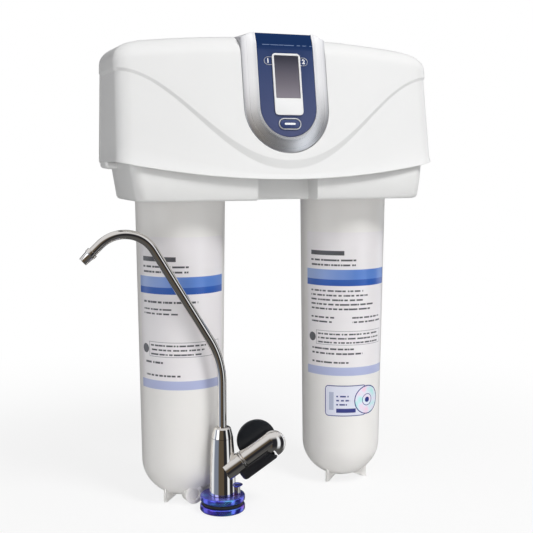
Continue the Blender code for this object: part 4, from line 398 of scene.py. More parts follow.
# %% [markdown]
# ## The CAD nodes that stay
# Pieces inside the head, and small pieces of the right shape, stay as CAD nodes and only get a
# better finish. Assigning to the object's material slot leaves the mesh as it was.

# %% Dress the CAD nodes
dressed = 0
for finish, nodes in (
    (plate_finish, "back_plate"),
    (tray_finish, "head_tray"),
    (cover_finish, "head_cover"),
    (cap_finish, "left_cartridge_cap right_cartridge_cap left_filter_block"),
    (inner_finish, "left_manifold right_manifold left_block_top_disc right_block_top_disc"),
    (inner_finish, "left_valve_plug right_valve_plug display_carrier"),
    (rubber_finish, "left_lower_seal left_upper_seal right_lower_seal right_upper_seal"),
    (rubber_finish, "spout_seal tap_base_seal"),
    (pipe_finish, "left_cross_pipe right_cross_pipe inlet_pipe outlet_pipe"),
    (pipe_finish, "inlet_connector outlet_connector"),
    (collet_finish, "inlet_collet outlet_collet"),
    (dark_finish, "right_filter_block flow_sensor_body button_switch"),
    (rotor_finish, "flow_sensor_rotor"),
    (board_finish, "circuit_board"),
    (grey_finish, "display_module battery_box"),
    (copper_finish, "battery_1 battery_2"),
    (brass_finish, "valve_stem"),
    (steel_finish, "paddle_screw manifold_screw_1 manifold_screw_2 manifold_screw_3 manifold_screw_4"),
):
    for node in nodes.split():
        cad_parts[node].material_slots[0].material = finish
        dressed += 1
print(dressed, "CAD nodes have a finish")

# %% [markdown]
# ## Moulded pieces with eased edges
# A CAD solid has knife edges. Real mouldings have a small radius everywhere, and it is that
# radius that catches the light. For pieces of the right shape a copy of the CAD mesh is merged,
# its flat faces are joined again, and a narrow bevel is added.

# %% Ease the edges of a copy
FLAT_ANGLE = math.radians(0.6)
MERGE_DISTANCE = 0.000004


def eased_copy(node, width, segments):
    """A copy of a CAD node with its edges rounded."""
    form = bmesh.new()
    form.from_mesh(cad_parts[node].data)
    bmesh.ops.remove_doubles(form, verts=form.verts, dist=MERGE_DISTANCE)
    bmesh.ops.dissolve_limit(form, angle_limit=FLAT_ANGLE, verts=form.verts, edges=form.edges)
    return eased(from_form(form), width, segments)


# %% [markdown]
# ## The head cover
# The cover is one thin moulding: a bowed front that leans back, round corners, a crowned roof,
# and a wave that dips to the middle. Its shape follows a rule, so it is drawn from the rule: the
# outline seen from above, moved in and up row by row. A subdivided box would need dozens of
# hand-placed points for the same wave.

# %% Sizes of the cover
COVER_HALF_WIDTH = 0.1511
COVER_FRONT = 0.0698
COVER_REAR = 0.0240
COVER_WALL = 0.0024
COVER_LOW = 0.2968
COVER_HIGH = 0.4223
FRONT_SLANT = math.radians(10.3)
SIDE_DRAFT = 0.0030
BOW_DEPTH = 0.0095
CORNER_RADIUS = 0.0160
EDGE_RISE = 0.0150
CROWN_DROP = 0.0080
ROUND_HEIGHT = 0.0170
ROUND_INSET = 0.0240
ROUND_CORNER = 0.0050
WAVE_END = 0.3890
WAVE_DEPTH = 0.0795
WAVE_POWER = 1.08
BAND_MIDDLE = 0.0090
BAND_END = 0.0034
BAND_DEPTH_SHARE = 0.36
EDGE_LIP = 0.0007
EDGE_LIP_HEIGHT = 0.0018
SIDE_STEPS = 6
CORNER_STEPS = 14
FRONT_STEPS = 120
ROUND_STEPS = 14
BAND_EASE = 0.16
BAND_SHARES = (0.0, 0.04, 0.08, 0.12, 0.16, 0.5, 0.84, 0.88, 0.92, 0.96, 1.0)
FACE_STEPS = 6


# %% The rule of the wave
def low_edge(x):
    """The cover's lower edge, which smiles across the front."""
    return COVER_LOW + EDGE_RISE * (x / COVER_HALF_WIDTH) ** 2


def high_edge(x):
    """The crowned roof."""
    return COVER_HIGH - CROWN_DROP * (x / COVER_HALF_WIDTH) ** 2


def wave_share(x):
    """One at the bottom of the wave and none at the cover's ends."""
    reach = min(abs(x) / COVER_HALF_WIDTH, 1.0) ** WAVE_POWER
    return (1 + math.cos(math.pi * reach)) / 2


def band_height(x):
    """The height of the sloped band that follows the wave."""
    return BAND_END + (BAND_MIDDLE - BAND_END) * wave_share(x)


def wave_line(x):
    """The height of the middle of the band."""
    return WAVE_END - WAVE_DEPTH * wave_share(x)


def strip_inset(x):
    """How far the strip below the band stands back."""
    return band_height(x) * BAND_DEPTH_SHARE


def eased_slope(share):
    """A straight slope from 0 to 1 with a short round at each end."""
    steep = 1 / (1 - BAND_EASE)
    if share < BAND_EASE:
        return steep * share * share / (2 * BAND_EASE)
    if share > 1 - BAND_EASE:
        return 1 - steep * (1 - share) ** 2 / (2 * BAND_EASE)
    return steep * (share - BAND_EASE / 2)


# %% The outline seen from above
bow = BOW_DEPTH / COVER_HALF_WIDTH ** 2
front_slope = math.atan(2 * BOW_DEPTH / COVER_HALF_WIDTH ** 2 * (COVER_HALF_WIDTH - CORNER_RADIUS))
front_end_x = COVER_HALF_WIDTH - CORNER_RADIUS + CORNER_RADIUS * math.sin(front_slope)
front_end_y = -(COVER_FRONT - BOW_DEPTH * (front_end_x / COVER_HALF_WIDTH) ** 2)
corner_y = front_end_y + CORNER_RADIUS * math.cos(front_slope)
corner_x = COVER_HALF_WIDTH - CORNER_RADIUS


def cover_plan():
    """Places and outward directions round the cover, from its left rear to its right rear."""
    half = []
    for i in range(SIDE_STEPS):
        half.append((-COVER_HALF_WIDTH, COVER_REAR + (corner_y - COVER_REAR) * i / SIDE_STEPS, -1.0, 0.0))
    for i in range(CORNER_STEPS + 1):
        angle = math.pi + (math.pi / 2 - front_slope) * i / CORNER_STEPS
        across, ahead = math.cos(angle), math.sin(angle)
        half.append((-corner_x + CORNER_RADIUS * across, corner_y + CORNER_RADIUS * ahead, across, ahead))
    for i in range(1, FRONT_STEPS // 2 + 1):
        x = -front_end_x * (1 - 2 * i / FRONT_STEPS)
        lean = math.atan(2 * bow * x)
        half.append((x, -(COVER_FRONT - bow * x ** 2), math.sin(lean), -math.cos(lean)))
    return half + [(-x, y, -across, ahead) for x, y, across, ahead in reversed(half[:-1])]


def cover_point(spot, height, inset):
    """A point of the skin, drawn in along the outline and slanted back."""
    x, y, across, ahead = spot
    rise = height - COVER_LOW
    front_share = (COVER_REAR - y) / (COVER_REAR + COVER_FRONT)
    draft = SIDE_DRAFT * rise / (COVER_HIGH - COVER_LOW) * x / COVER_HALF_WIDTH
    slant = math.tan(FRONT_SLANT) * rise * front_share
    tighten = inset * (CORNER_RADIUS - ROUND_CORNER) / ROUND_INSET
    shift = inset - tighten
    x_share = max(-1.0, min(1.0, x / corner_x))
    y_share = max(0.0, min(1.0, (COVER_REAR - y) / (COVER_REAR - corner_y)))
    new_x = x - draft - across * tighten - shift * x_share
    new_y = y + slant - ahead * tighten + shift * y_share
    if y >= COVER_REAR:
        new_y = y
    return Vector((new_x, new_y, height)) + head_middle


# %% Rows of the skin
def cover_rows():
    """Rows from the lower edge to the start of the roof."""
    plan = cover_plan()
    rows = []

    def add_row(height_at, inset_at):
        rows.append([cover_point(spot, height_at(spot[0]), inset_at(spot[0])) for spot in plan])

    def band_bottom(x):
        return wave_line(x) - band_height(x) / 2

    def band_top(x):
        return wave_line(x) + band_height(x) / 2

    def strip_low(x):
        return low_edge(x) + 2 * EDGE_LIP_HEIGHT

    def round_start(x):
        return high_edge(x) - ROUND_HEIGHT

    add_row(low_edge, lambda x: strip_inset(x) - EDGE_LIP)
    add_row(lambda x: low_edge(x) + EDGE_LIP_HEIGHT, lambda x: strip_inset(x) - EDGE_LIP)
    for i in range(FACE_STEPS):
        add_row(lambda x, s=i / FACE_STEPS: strip_low(x) + (band_bottom(x) - strip_low(x)) * s, strip_inset)
    for share in BAND_SHARES:
        add_row(
            lambda x, s=share: band_bottom(x) + band_height(x) * s,
            lambda x, s=eased_slope(share): strip_inset(x) * (1 - s),
        )
    for i in range(1, FACE_STEPS + 1):
        add_row(lambda x, s=i / FACE_STEPS: band_top(x) + (round_start(x) - band_top(x)) * s, lambda x: 0.0)
    for i in range(1, ROUND_STEPS + 1):
        angle = math.pi / 2 * i / ROUND_STEPS
        rise = ROUND_HEIGHT * math.sin(angle)
        inset = ROUND_INSET * (1 - math.cos(angle))
        add_row(lambda x, r=rise: round_start(x) + r, lambda x, n=inset: n)
    return rows


def cover_skin():
    """The open skin of the cover with its roof."""
    form = bmesh.new()
    rows = [[form.verts.new(point) for point in row] for row in cover_rows()]
    for low, high in zip(rows, rows[1:]):
        for i in range(len(low) - 1):
            form.faces.new((low[i], low[i + 1], high[i + 1], high[i]))
    rim = rows[-1]
    count = SIDE_STEPS + CORNER_STEPS
    front = rim[count:len(rim) - count]
    back = [form.verts.new((v.co.x, rim[0].co.y, v.co.z)) for v in front[1:-1]]
    form.faces.new([rim[0]] + rim[1:count + 2] + [back[0]])
    for i in range(1, len(front) - 2):
        form.faces.new((front[i], front[i + 1], back[i], back[i - 1]))
    form.faces.new([back[-1]] + rim[len(rim) - count - 2:-1] + [rim[-1]])
    bmesh.ops.recalc_face_normals(form, faces=form.faces)
    if sum(face.normal.z for face in form.faces) < 0:
        bmesh.ops.reverse_faces(form, faces=form.faces)
    return from_form(form, outwards=False)


# %% [markdown]
# ## The pod's own plane
# The pod lies in the leaning front. Its pieces are drawn on a flat page, x across and z up, and
# one matrix then leans that page back and carries it to the cover.

# %% Sizes and place of the pod
POD_HEIGHT = 0.3580
POD_SINK = 0.0033
POD_OUTER_RADIUS = 0.0397
POD_INNER_RADIUS = 0.0265
POD_PROUD = 0.0070
POD_EDGE_PROUD = 0.0035
POD_FACE_LOW = 0.0480
POD_CREASE = 0.0548
POD_BEND = math.radians(14.0)
POD_BEND_LENGTH = 0.0117
POD_ROOF_LENGTH = 0.0315
POD_ROOF_DEPTH = 0.0125
POD_RIM = 0.0014
POD_RIM_DEPTH = 0.0100
POD_LEG_KNEE = 0.0400
POD_ARC_STEPS = 72
NOTCH_FRONT = -0.02
SHOULDER_DROP = 0.0056
SHOULDER_REAR_DROP = 0.0026
SHOULDER_MIDDLE_SHARE = 0.40
PANEL_RECESS = 0.0005
CREASE_LINE = 0.0007

pod_front = -COVER_FRONT + POD_SINK + math.tan(FRONT_SLANT) * (POD_HEIGHT - COVER_LOW)
pod_place = Matrix.Translation(head_middle + Vector((0, pod_front, POD_HEIGHT)))
pod_place = pod_place @ Matrix.Rotation(-FRONT_SLANT, 4, "X")
panel_front = -POD_PROUD + PANEL_RECESS


def on_face(outline, front, back):
    """Extrude an outline that is drawn on the pod's face from front to back."""
    return slices([[(x, depth, z) for x, z in outline] for depth in (front, back)], pod_place)


def pod_outline(radius, top):
    """A U in the pod's face: straight legs above a half circle."""
    return arc((0, 0), radius, 180, 360, POD_ARC_STEPS) + [(radius, top), (-radius, top)]


def pod_side():
    """The line over the pod seen from the side: up the face, over the bend, along the roof."""
    crease = Vector((-POD_PROUD, POD_CREASE))
    bend = crease + POD_BEND_LENGTH * Vector((math.sin(POD_BEND), math.cos(POD_BEND)))
    roof = bend + POD_ROOF_LENGTH * Vector((math.cos(FRONT_SLANT), math.sin(FRONT_SLANT)))
    return crease, bend, roof


crease, bend, roof = pod_side()
print("pod's plane is at", [round(value, 4) for value in pod_place.translation])

# %% Make the cover and cut the pod's notch
cover_mesh = smooth(settled(cover_skin(), "SOLIDIFY", thickness=COVER_WALL, offset=-1.0))
notch = pod_outline(POD_OUTER_RADIUS + AIR, POD_CREASE + POD_ROOF_LENGTH)
cover_mesh = carve(cover_mesh, on_face(notch, NOTCH_FRONT, roof.x + AIR))
add_piece("wave_cover", cover_mesh, cover_finish, "head_cover", slot="cover_white")

# %% Ease the tray and the back plate
TRAY_ROUND = 0.0006
PLATE_ROUND = 0.0004
tray_mesh = eased_copy("head_tray", TRAY_ROUND, 3)
add_piece("lower_tray", tray_mesh, tray_finish, "head_tray", slot="tray_white")
plate_mesh = eased_copy("back_plate", PLATE_ROUND, 2)
add_piece("wall_plate", plate_mesh, plate_finish, "back_plate", slot="plate_white")

# %% Blocks that close the corners under the cover's ends
BLOCK_WIDTH = 0.0160
BLOCK_HEIGHT = 0.0082
BLOCK_REACH = 0.0270
BLOCK_INSET = 0.0008
BLOCK_ROUND = 0.0032
plate_left, plate_front, plate_bottom = (min(v.co[axis] for v in plate_mesh.vertices) for axis in range(3))
plate_right = max(v.co.x for v in plate_mesh.vertices)
for name, start in (("left", plate_left + BLOCK_INSET), ("right", plate_right - BLOCK_INSET - BLOCK_WIDTH)):
    block = brick(
        (start, plate_front - BLOCK_REACH, plate_bottom + BLOCK_INSET),
        (start + BLOCK_WIDTH, plate_front + BLOCK_INSET, plate_bottom + BLOCK_HEIGHT),
    )
    add_piece("corner_block_" + name, eased(block, BLOCK_ROUND, 5), cover_finish, slot="plate_white")

# %% [markdown]
# ## The silver U
# The bezel is swept round the U: a thin bright bead against the panel, then a band that rolls
# down to the cover. Its finish is brushed along the U, so the streaks follow the angle about the
# pod's middle, and run straight up the legs. It is more of a metal at its foot than at its top.
# Its colour is painted darker in the groove beside the bead and towards the rolled outer edge,
# as painted shade.

# %% Brushed silver
STREAK_SCALE = 2600.0
STREAK_TINTS = [(0.3, (0.86, 0.86, 0.88)), (0.7, WHITE)]
ROLL_SHADE_TINTS = [
    (0.0, WHITE), (0.12, (0.86, 0.86, 0.87)), (0.30, WHITE),
    (0.72, (0.98, 0.98, 0.99)), (0.90, (0.80, 0.80, 0.82)), (1.0, (0.50, 0.50, 0.52)),
]
METAL_LOW = 0.88
METAL_HIGH = 0.12
SILVER_GLOSS = 0.20
SILVER_GLOSS_SPAN = 0.22


def brushed_silver():
    """Silver paint with fine streaks that follow the U, and painted shade beside the bead and at the rolled
    edge.
    """
    material, shader, where = start_finish("bezel_silver", (0.80, 0.80, 0.81), 0.30, metallic=0.65)
    x, _, z = axes(where)
    x = number("SUBTRACT", x, pod_place.translation.x)
    z = number("SUBTRACT", z, pod_place.translation.z)
    radius = reach_of(x, number("MINIMUM", z, 0.0))
    streak = streaks(radius, STREAK_SCALE, 3.0)
    out = number("SUBTRACT", radius, POD_INNER_RADIUS)
    # Painted shade: darker in the groove beside the bead and towards the rolled outer edge.
    painted_roll_shade = ramp(number("DIVIDE", out, POD_OUTER_RADIUS - POD_INNER_RADIUS), ROLL_SHADE_TINTS)
    metal = stretch(z, -POD_INNER_RADIUS, POD_INNER_RADIUS, METAL_LOW, METAL_HIGH, "SMOOTHSTEP")
    feed(shader.inputs["Base Color"], blend(1.0, ramp(streak, STREAK_TINTS), painted_roll_shade, "MULTIPLY"))
    feed(shader.inputs["Metallic"], metal)
    feed(shader.inputs["Roughness"], number("MULTIPLY_ADD", streak, SILVER_GLOSS_SPAN, SILVER_GLOSS))
    relief(shader, streak, FAINT_GRAIN)
    return material


silver_finish = brushed_silver()

# %% Sweep and trim the U
BEAD_WIDTH = 0.0013
BEAD_DEPTH = 0.0004
ROLL_STEPS = 10
ROLL_STRAIGHT = 0.65
EDGE_ROUND = 0.0012
BEZEL_ROUND = 0.0003
REACH = 0.002
REACH_AHEAD = 0.003


def bezel_section():
    """The bezel's section: outward from the panel, and depth into the pod."""
    width = POD_OUTER_RADIUS - POD_INNER_RADIUS
    points = [
        (0.0, -POD_PROUD + BEAD_DEPTH), (BEAD_DEPTH, -POD_PROUD),
        (BEAD_WIDTH - BEAD_DEPTH, -POD_PROUD), (BEAD_WIDTH, -POD_PROUD + BEAD_DEPTH),
    ]
    start = BEAD_WIDTH + BEAD_DEPTH / 2
    reach = width - EDGE_ROUND - start
    drop = POD_PROUD - POD_EDGE_PROUD
    for i in range(ROLL_STEPS + 1):
        share = i / ROLL_STEPS
        roll = ROLL_STRAIGHT * share + (1 - ROLL_STRAIGHT) * share * share
        points.append((start + reach * share, -POD_PROUD + BEAD_DEPTH / 2 + (drop - BEAD_DEPTH / 2) * roll))
    for across, down in arc((0, 0), EDGE_ROUND, 65, 0, 5):
        points.append((width - EDGE_ROUND + across, -POD_EDGE_PROUD + EDGE_ROUND - down))
    return points + [(width, POD_ROOF_LENGTH), (0.0, POD_ROOF_LENGTH)]


def swept_bezel():
    """Sweep the section down one leg, round the foot and up the other leg."""
    top = POD_CREASE + POD_ROOF_LENGTH
    stops = [((-1.0, 0.0), top), ((-1.0, 0.0), top / 2)]
    for i in range(POD_ARC_STEPS + 1):
        angle = math.pi + math.pi * i / POD_ARC_STEPS
        stops.append(((math.cos(angle), math.sin(angle)), 0.0))
    stops += [((1.0, 0.0), top / 2), ((1.0, 0.0), top)]
    section = [(POD_INNER_RADIUS + out, depth) for out, depth in bezel_section()]
    rings = [[(across * r, depth, up * r + lift) for r, depth in section] for (across, up), lift in stops]
    return slices(rings, pod_place)


side_line = [
    (-POD_PROUD - REACH, -POD_FACE_LOW),
    (-POD_PROUD - REACH, POD_CREASE - REACH * math.tan(POD_BEND / 2)),
    tuple(crease), tuple(bend), tuple(roof), (roof.x, roof.y - POD_ROOF_DEPTH),
    (POD_RIM_DEPTH, POD_LEG_KNEE), (POD_RIM_DEPTH, -POD_FACE_LOW),
]
far = POD_OUTER_RADIUS + REACH
side_block = slices([[(x, y, z) for y, z in side_line] for x in (-far, far)], pod_place)
bezel_mesh = carve(swept_bezel(), side_block, "INTERSECT")

# %% Slope the shoulders
back_way = (roof - bend).normalized()
up_way = Vector((-back_way.y, back_way.x))


def shoulder(sign):
    """The wedge that is cut off one shoulder of the bezel."""
    start = POD_INNER_RADIUS + POD_RIM
    middle = (start + POD_OUTER_RADIUS) / 2
    ahead, behind = bend - back_way * REACH_AHEAD, roof + back_way * REACH
    rings = []
    for spot, drop in ((ahead, SHOULDER_DROP), (behind, SHOULDER_REAR_DROP)):
        slope = drop / (POD_OUTER_RADIUS - start)
        shape = [
            (start, REACH), (start, 0), (middle, -drop * SHOULDER_MIDDLE_SHARE),
            (far, -drop - slope * REACH), (far, REACH),
        ]
        points = [(sign * across, spot + up_way * lift) for across, lift in shape]
        rings.append([(across, point.x, point.y) for across, point in points])
    return slices(rings, pod_place)


for sign in (-1, 1):
    bezel_mesh = carve(bezel_mesh, shoulder(sign))
bezel_mesh = eased(bezel_mesh, BEZEL_ROUND, 2)
add_piece("silver_bezel", bezel_mesh, silver_finish, "display_bezel", slot="bezel_silver")

# %% [markdown]
# ## Panel, window and button
# The panel is tinted plastic with a clear gloss over it. Its colour is painted darker upwards,
# darkest over the bend, as painted shade, and a broken painted highlight runs where it bends.
# The window's glass is a dark display that is lighter towards its foot. The two small numbers
# stand for the two cartridges.

# %% Finishes of the panel and the glass
PANEL_SPAN = (0.33, 0.42)
PANEL_SHADE_TINTS = [
    (0.0, (0.085, 0.100, 0.200)), (0.55, (0.055, 0.075, 0.170)),
    (0.86, (0.030, 0.052, 0.140)), (0.92, (0.012, 0.032, 0.105)),
]
PANEL_SHEEN_END = 0.88
PANEL_SHEEN = 0.12
CREASE_HIGHLIGHT_TINT = (0.16, 0.22, 0.38)
CREASE_BREAK_SCALE = 260.0
CREASE_BREAK_LIMIT = 0.46
PANEL_GRAIN_SCALE = 700.0
GLASS_SHEEN = 0.15
GLASS_SPAN = (0.3665, 0.4015)
GLASS_TINTS = [
    (0.0, (0.255, 0.235, 0.270)), (0.35, (0.175, 0.160, 0.190)),
    (0.75, (0.095, 0.090, 0.115)), (1.0, (0.045, 0.045, 0.062)),
]

panel_finish, shader, where = start_finish("panel_navy", (0.03, 0.05, 0.14), 0.28)
z = axes(where)[2]
# Painted shade: the panel grows darker upwards and is darkest over the bend and roof.
share = stretch(z, *PANEL_SPAN)
sheen = number("MULTIPLY", number("LESS_THAN", share, PANEL_SHEEN_END), PANEL_SHEEN)
feed(shader.inputs["Specular IOR Level"], sheen)
crease_height = (pod_place @ Vector((0, panel_front, POD_CREASE))).z
# Painted highlight: a broken pale line along the crease where the panel bends.
on_crease = inside(z, crease_height - CREASE_LINE / 2, crease_height + CREASE_LINE / 2)
painted_crease_highlight = number("MULTIPLY", on_crease, number("GREATER_THAN", noise(where, CREASE_BREAK_SCALE, 1.0), CREASE_BREAK_LIMIT))
feed(shader.inputs["Base Color"], blend(painted_crease_highlight, ramp(share, PANEL_SHADE_TINTS), CREASE_HIGHLIGHT_TINT))
relief(shader, noise(where, PANEL_GRAIN_SCALE, 2.0), FAINT_GRAIN)

glass_finish, shader, where = start_finish("display_glass", (0.2, 0.19, 0.22), 0.18)
feed(shader.inputs["Specular IOR Level"], GLASS_SHEEN)
feed(shader.inputs["Base Color"], ramp(stretch(axes(where)[2], *GLASS_SPAN), GLASS_TINTS))
print_finish = moulded("panel_print", (0.93, 0.94, 0.96), 0.4, drift=0.01)
button_finish = moulded("button_navy", (0.040, 0.060, 0.165), 0.26, drift=0.03, coat=0.3)

# %% Panel, window frame, glass and button
for name, node, width, segments, finish, body, slot in (
    ("blue_panel", "display_panel", 0.00025, 3, panel_finish, "filter_head", "panel_navy"),
    ("window_rim", "window_frame", 0.0003, 3, frame_finish, "filter_head", "frame_white"),
    ("display_pane", "window_glass", 0.0001, 1, glass_finish, "filter_head", "glass_dark"),
    ("button_rim", "button_ring", 0.0002, 2, silver_finish, "filter_head", "ring_silver"),
    ("button_cap", "push_button", 0.0001, 1, button_finish, "display_button", "button_navy"),
):
    add_piece(name, eased_copy(node, width, segments), finish, node, body=body, slot=slot)

# %% [markdown]
# ## Print on the panel
# Two rounded outlines with a plain 1 and 2 sit beside the window. An outline is a line with a
# width, so Geometry Nodes sweep a small flat section along it. The numbers are text objects that
# are turned into meshes before they are put in place.

# %% Geometry Nodes trees
def start_tree(name, sizes):
    """A Geometry Nodes tree with geometry, sizes and a finish as its inputs."""
    tree = bpy.data.node_groups.new(name, "GeometryNodeTree")
    tree.interface.new_socket("Geometry", in_out="OUTPUT", socket_type="NodeSocketGeometry")
    ids = {}
    for title, kind, value in (("Geometry", "Geometry", None), *sizes, ("Finish", "Material", None)):
        socket = tree.interface.new_socket(title, in_out="INPUT", socket_type="NodeSocket" + kind)
        if value is not None:
            socket.default_value = value
        ids[title] = socket.identifier
    return tree, ids, tree.nodes.new("NodeGroupInput").outputs


def end_tree(geometry, finish):
    """Realize the instances, set the material and send the result out."""
    real = add_node("GeometryNodeRealizeInstances", {0: geometry})
    paint = add_node("GeometryNodeSetMaterial", {"Geometry": real.outputs[0], "Material": finish})
    add_node("NodeGroupOutput", {0: paint.outputs[0]})


def sweep_tree(name, section_kind, *sizes):
    """Sweep a section along a line. The sizes are the section's own inputs."""
    tree, ids, given = start_tree(name, sizes)
    section = add_node(section_kind, {title: given[title] for title, _, _ in sizes})
    line = add_node("GeometryNodeMeshToCurve", {0: given["Geometry"]})
    sweep = add_node("GeometryNodeCurveToMesh", {
        "Curve": line.outputs[0], "Profile Curve": section.outputs[0], "Fill Caps": True,
    })
    end_tree(sweep.outputs[0], given["Finish"])
    return tree, ids


def grown(mesh, recipe, place, values):
    """Run a Geometry Nodes tree on a mesh, and put the plain result in place."""
    tree, ids = recipe
    result = settled(mesh, "NODES", {ids[title]: value for title, value in values.items()}, node_group=tree)
    result.transform(place)
    return smooth(result)


def line_mesh(points):
    """A mesh that is only a line of edges."""
    mesh = bpy.data.meshes.new("line")
    mesh.from_pydata(points, [(i, i + 1) for i in range(len(points) - 1)], [])
    return mesh


# %% The outlines and numbers beside the window
MARK_HEIGHT = 0.0404
MARK_RADIUS = 0.0034
MARK_REACH = 0.0209
MARK_INNER = 0.0131
PRINT_LIFT = 0.00008
STROKE = 0.0012
FIGURE_SIZE = 0.0056
FIGURE_BOLD_SHARE = 0.03
FIGURE_SHIFT = 0.0008
print_depth = panel_front - PRINT_LIFT
flat_line = sweep_tree(
    "swept_line", "GeometryNodeCurvePrimitiveQuadrilateral",
    ("Width", "Float", STROKE), ("Height", "Float", 2 * PRINT_LIFT),
)


def mark_outline(sign):
    """A half pill that ends at the window frame."""
    middle = MARK_REACH - MARK_RADIUS - STROKE / 2
    points = [(MARK_INNER, MARK_HEIGHT + MARK_RADIUS)]
    points += arc((middle, MARK_HEIGHT), MARK_RADIUS, 90, -90, 24)
    points.append((MARK_INNER, MARK_HEIGHT - MARK_RADIUS))
    return [(sign * x, print_depth, z) for x, z in points]


def text_mesh(text, size, place):
    """Plain lettering as a mesh with a little thickness."""
    curve = bpy.data.curves.new("figure", "FONT")
    curve.body = text
    curve.size = size
    curve.align_x = "CENTER"
    curve.align_y = "CENTER"
    curve.extrude = PRINT_LIFT
    curve.offset = size * FIGURE_BOLD_SHARE
    mesh = settled(curve)
    mesh.transform(place @ Matrix.Rotation(math.pi / 2, 4, "X"))
    return mesh


for text, sign, name in (("1", -1, "one"), ("2", 1, "two")):
    sizes = {"Width": STROKE, "Height": 2 * PRINT_LIFT, "Finish": print_finish}
    outline = grown(line_mesh(mark_outline(sign)), flat_line, pod_place, sizes)
    add_piece("outline_" + name, outline, print_finish, slot="frame_white")
    spot = Matrix.Translation((sign * (MARK_REACH - MARK_RADIUS - FIGURE_SHIFT), print_depth, MARK_HEIGHT))
    figure = text_mesh(text, FIGURE_SIZE, pod_place @ spot)
    add_piece("figure_" + name, figure, print_finish, slot="frame_white")

# %% A plain mark on the button
BUTTON_HEIGHT = -0.0150
BUTTON_PROUD = 0.0010
BAR_HALF_WIDTH = 0.0052
BAR_RADIUS = 0.0009
bar_depth = panel_front - BUTTON_PROUD
bar_outline = pill(BAR_HALF_WIDTH, BAR_RADIUS, BUTTON_HEIGHT)
bar = on_face(bar_outline, bar_depth - PRINT_LIFT, bar_depth + PRINT_LIFT)
add_piece("button_mark", bar, print_finish, body="display_button", slot="frame_white")

# %% [markdown]
# ## The canisters
# A canister is a turned shell with a domed foot. The CAD one has few sides, so a finer one is
# turned from the same profile. Three fins stand below the dome. They repeat about the axis, so
# Geometry Nodes place them.

# %% Sizes of a canister
CARTRIDGE_TOP_RADIUS = 0.0410
CARTRIDGE_LOW_RADIUS = 0.0376
CARTRIDGE_WALL = 0.0025
CARTRIDGE_TOP = 0.2960
RIM_EASE = 0.0006
DOME_SHOULDER = 0.0380
DOME_BOTTOM = 0.0029
DOME_STEPS = 28
FIN_START = math.radians(-146.0)
FIN_COUNT = 3
FIN_TIP_RADIUS = 0.0260
FIN_INNER_RADIUS = 0.0070
FIN_FLAT = 0.0035
FIN_THICKNESS = 0.0022
FIN_STEPS = 12
FIN_ROUND = 0.0003
dome_height = DOME_SHOULDER - DOME_BOTTOM
wall_taper = (CARTRIDGE_TOP_RADIUS - CARTRIDGE_LOW_RADIUS) / (CARTRIDGE_TOP - DOME_SHOULDER)


def canister_radius(height):
    """The radius of the straight wall at a height."""
    return CARTRIDGE_LOW_RADIUS + wall_taper * (height - DOME_SHOULDER)


def canister_profile():
    """Inside up, over the rim, and down the outside to the foot."""
    inner = CARTRIDGE_LOW_RADIUS - CARTRIDGE_WALL
    hollow, outer = [], []
    for i in range(DOME_STEPS + 1):
        angle = math.pi / 2 * i / DOME_STEPS
        across, down = math.sin(angle), math.cos(angle)
        hollow.append((inner * across, DOME_SHOULDER - (dome_height - CARTRIDGE_WALL) * down))
        outer.append((CARTRIDGE_LOW_RADIUS * across, DOME_SHOULDER - dome_height * down))
    rim = [
        (CARTRIDGE_TOP_RADIUS - CARTRIDGE_WALL, CARTRIDGE_TOP),
        (CARTRIDGE_TOP_RADIUS - RIM_EASE, CARTRIDGE_TOP), (CARTRIDGE_TOP_RADIUS, CARTRIDGE_TOP - RIM_EASE),
    ]
    return hollow + rim + outer[::-1]


# %% A fin, and a tree that repeats it about the axis
def fins_tree():
    """Place copies of one fin at equal turns about the Z axis."""
    sizes = (("Count", "Int", FIN_COUNT), ("First turn", "Float", FIN_START))
    tree, ids, given = start_tree("fins_round_the_foot", sizes)
    line = add_node("GeometryNodeMeshLine", {"Count": given["Count"], "Offset": (0, 0, 0)}, mode="OFFSET")
    index = add_node("GeometryNodeInputIndex", {}, tree)
    step = number("DIVIDE", 2 * math.pi, given["Count"])
    turn = number("MULTIPLY_ADD", index.outputs[0], step, given["First turn"])
    copies = add_node("GeometryNodeInstanceOnPoints", {
        "Points": line.outputs[0], "Instance": given["Geometry"],
        "Rotation": add_node("ShaderNodeCombineXYZ", {"Z": turn}).outputs[0],
    })
    end_tree(copies.outputs[0], given["Finish"])
    return tree, ids


def one_fin():
    """A thin triangle that stands on the floor and runs up into the dome."""
    middle_radius = CARTRIDGE_LOW_RADIUS - CARTRIDGE_WALL / 2
    depth = dome_height - CARTRIDGE_WALL / 2
    outline = [(FIN_TIP_RADIUS - FIN_FLAT, 0.0), (FIN_TIP_RADIUS, 0.0)]
    for i in range(FIN_STEPS + 1):
        radius = FIN_TIP_RADIUS + (FIN_INNER_RADIUS - FIN_TIP_RADIUS) * i / FIN_STEPS
        outline.append((radius, DOME_SHOULDER - depth * math.sqrt(1 - (radius / middle_radius) ** 2)))
    half = FIN_THICKNESS / 2
    return eased(slices([[(x, y, z) for x, z in outline] for y in (-half, half)]), FIN_ROUND, 2)


fin_ring = fins_tree()

# %% Turn both canisters
for side, axis in (("left", left_axis), ("right", right_axis)):
    body, at_axis = side + "_cartridge", Matrix.Translation(axis)
    shell = turned(canister_profile(), place=at_axis)
    add_piece(side + "_canister", shell, canister_finish, body + "_shell", body=body, slot="canister_white")
    sizes = {"Count": FIN_COUNT, "First turn": FIN_START, "Finish": canister_finish}
    fins = grown(one_fin(), fin_ring, at_axis, sizes)
    add_piece(side + "_fins", fins, canister_finish, body=body, slot="canister_white")

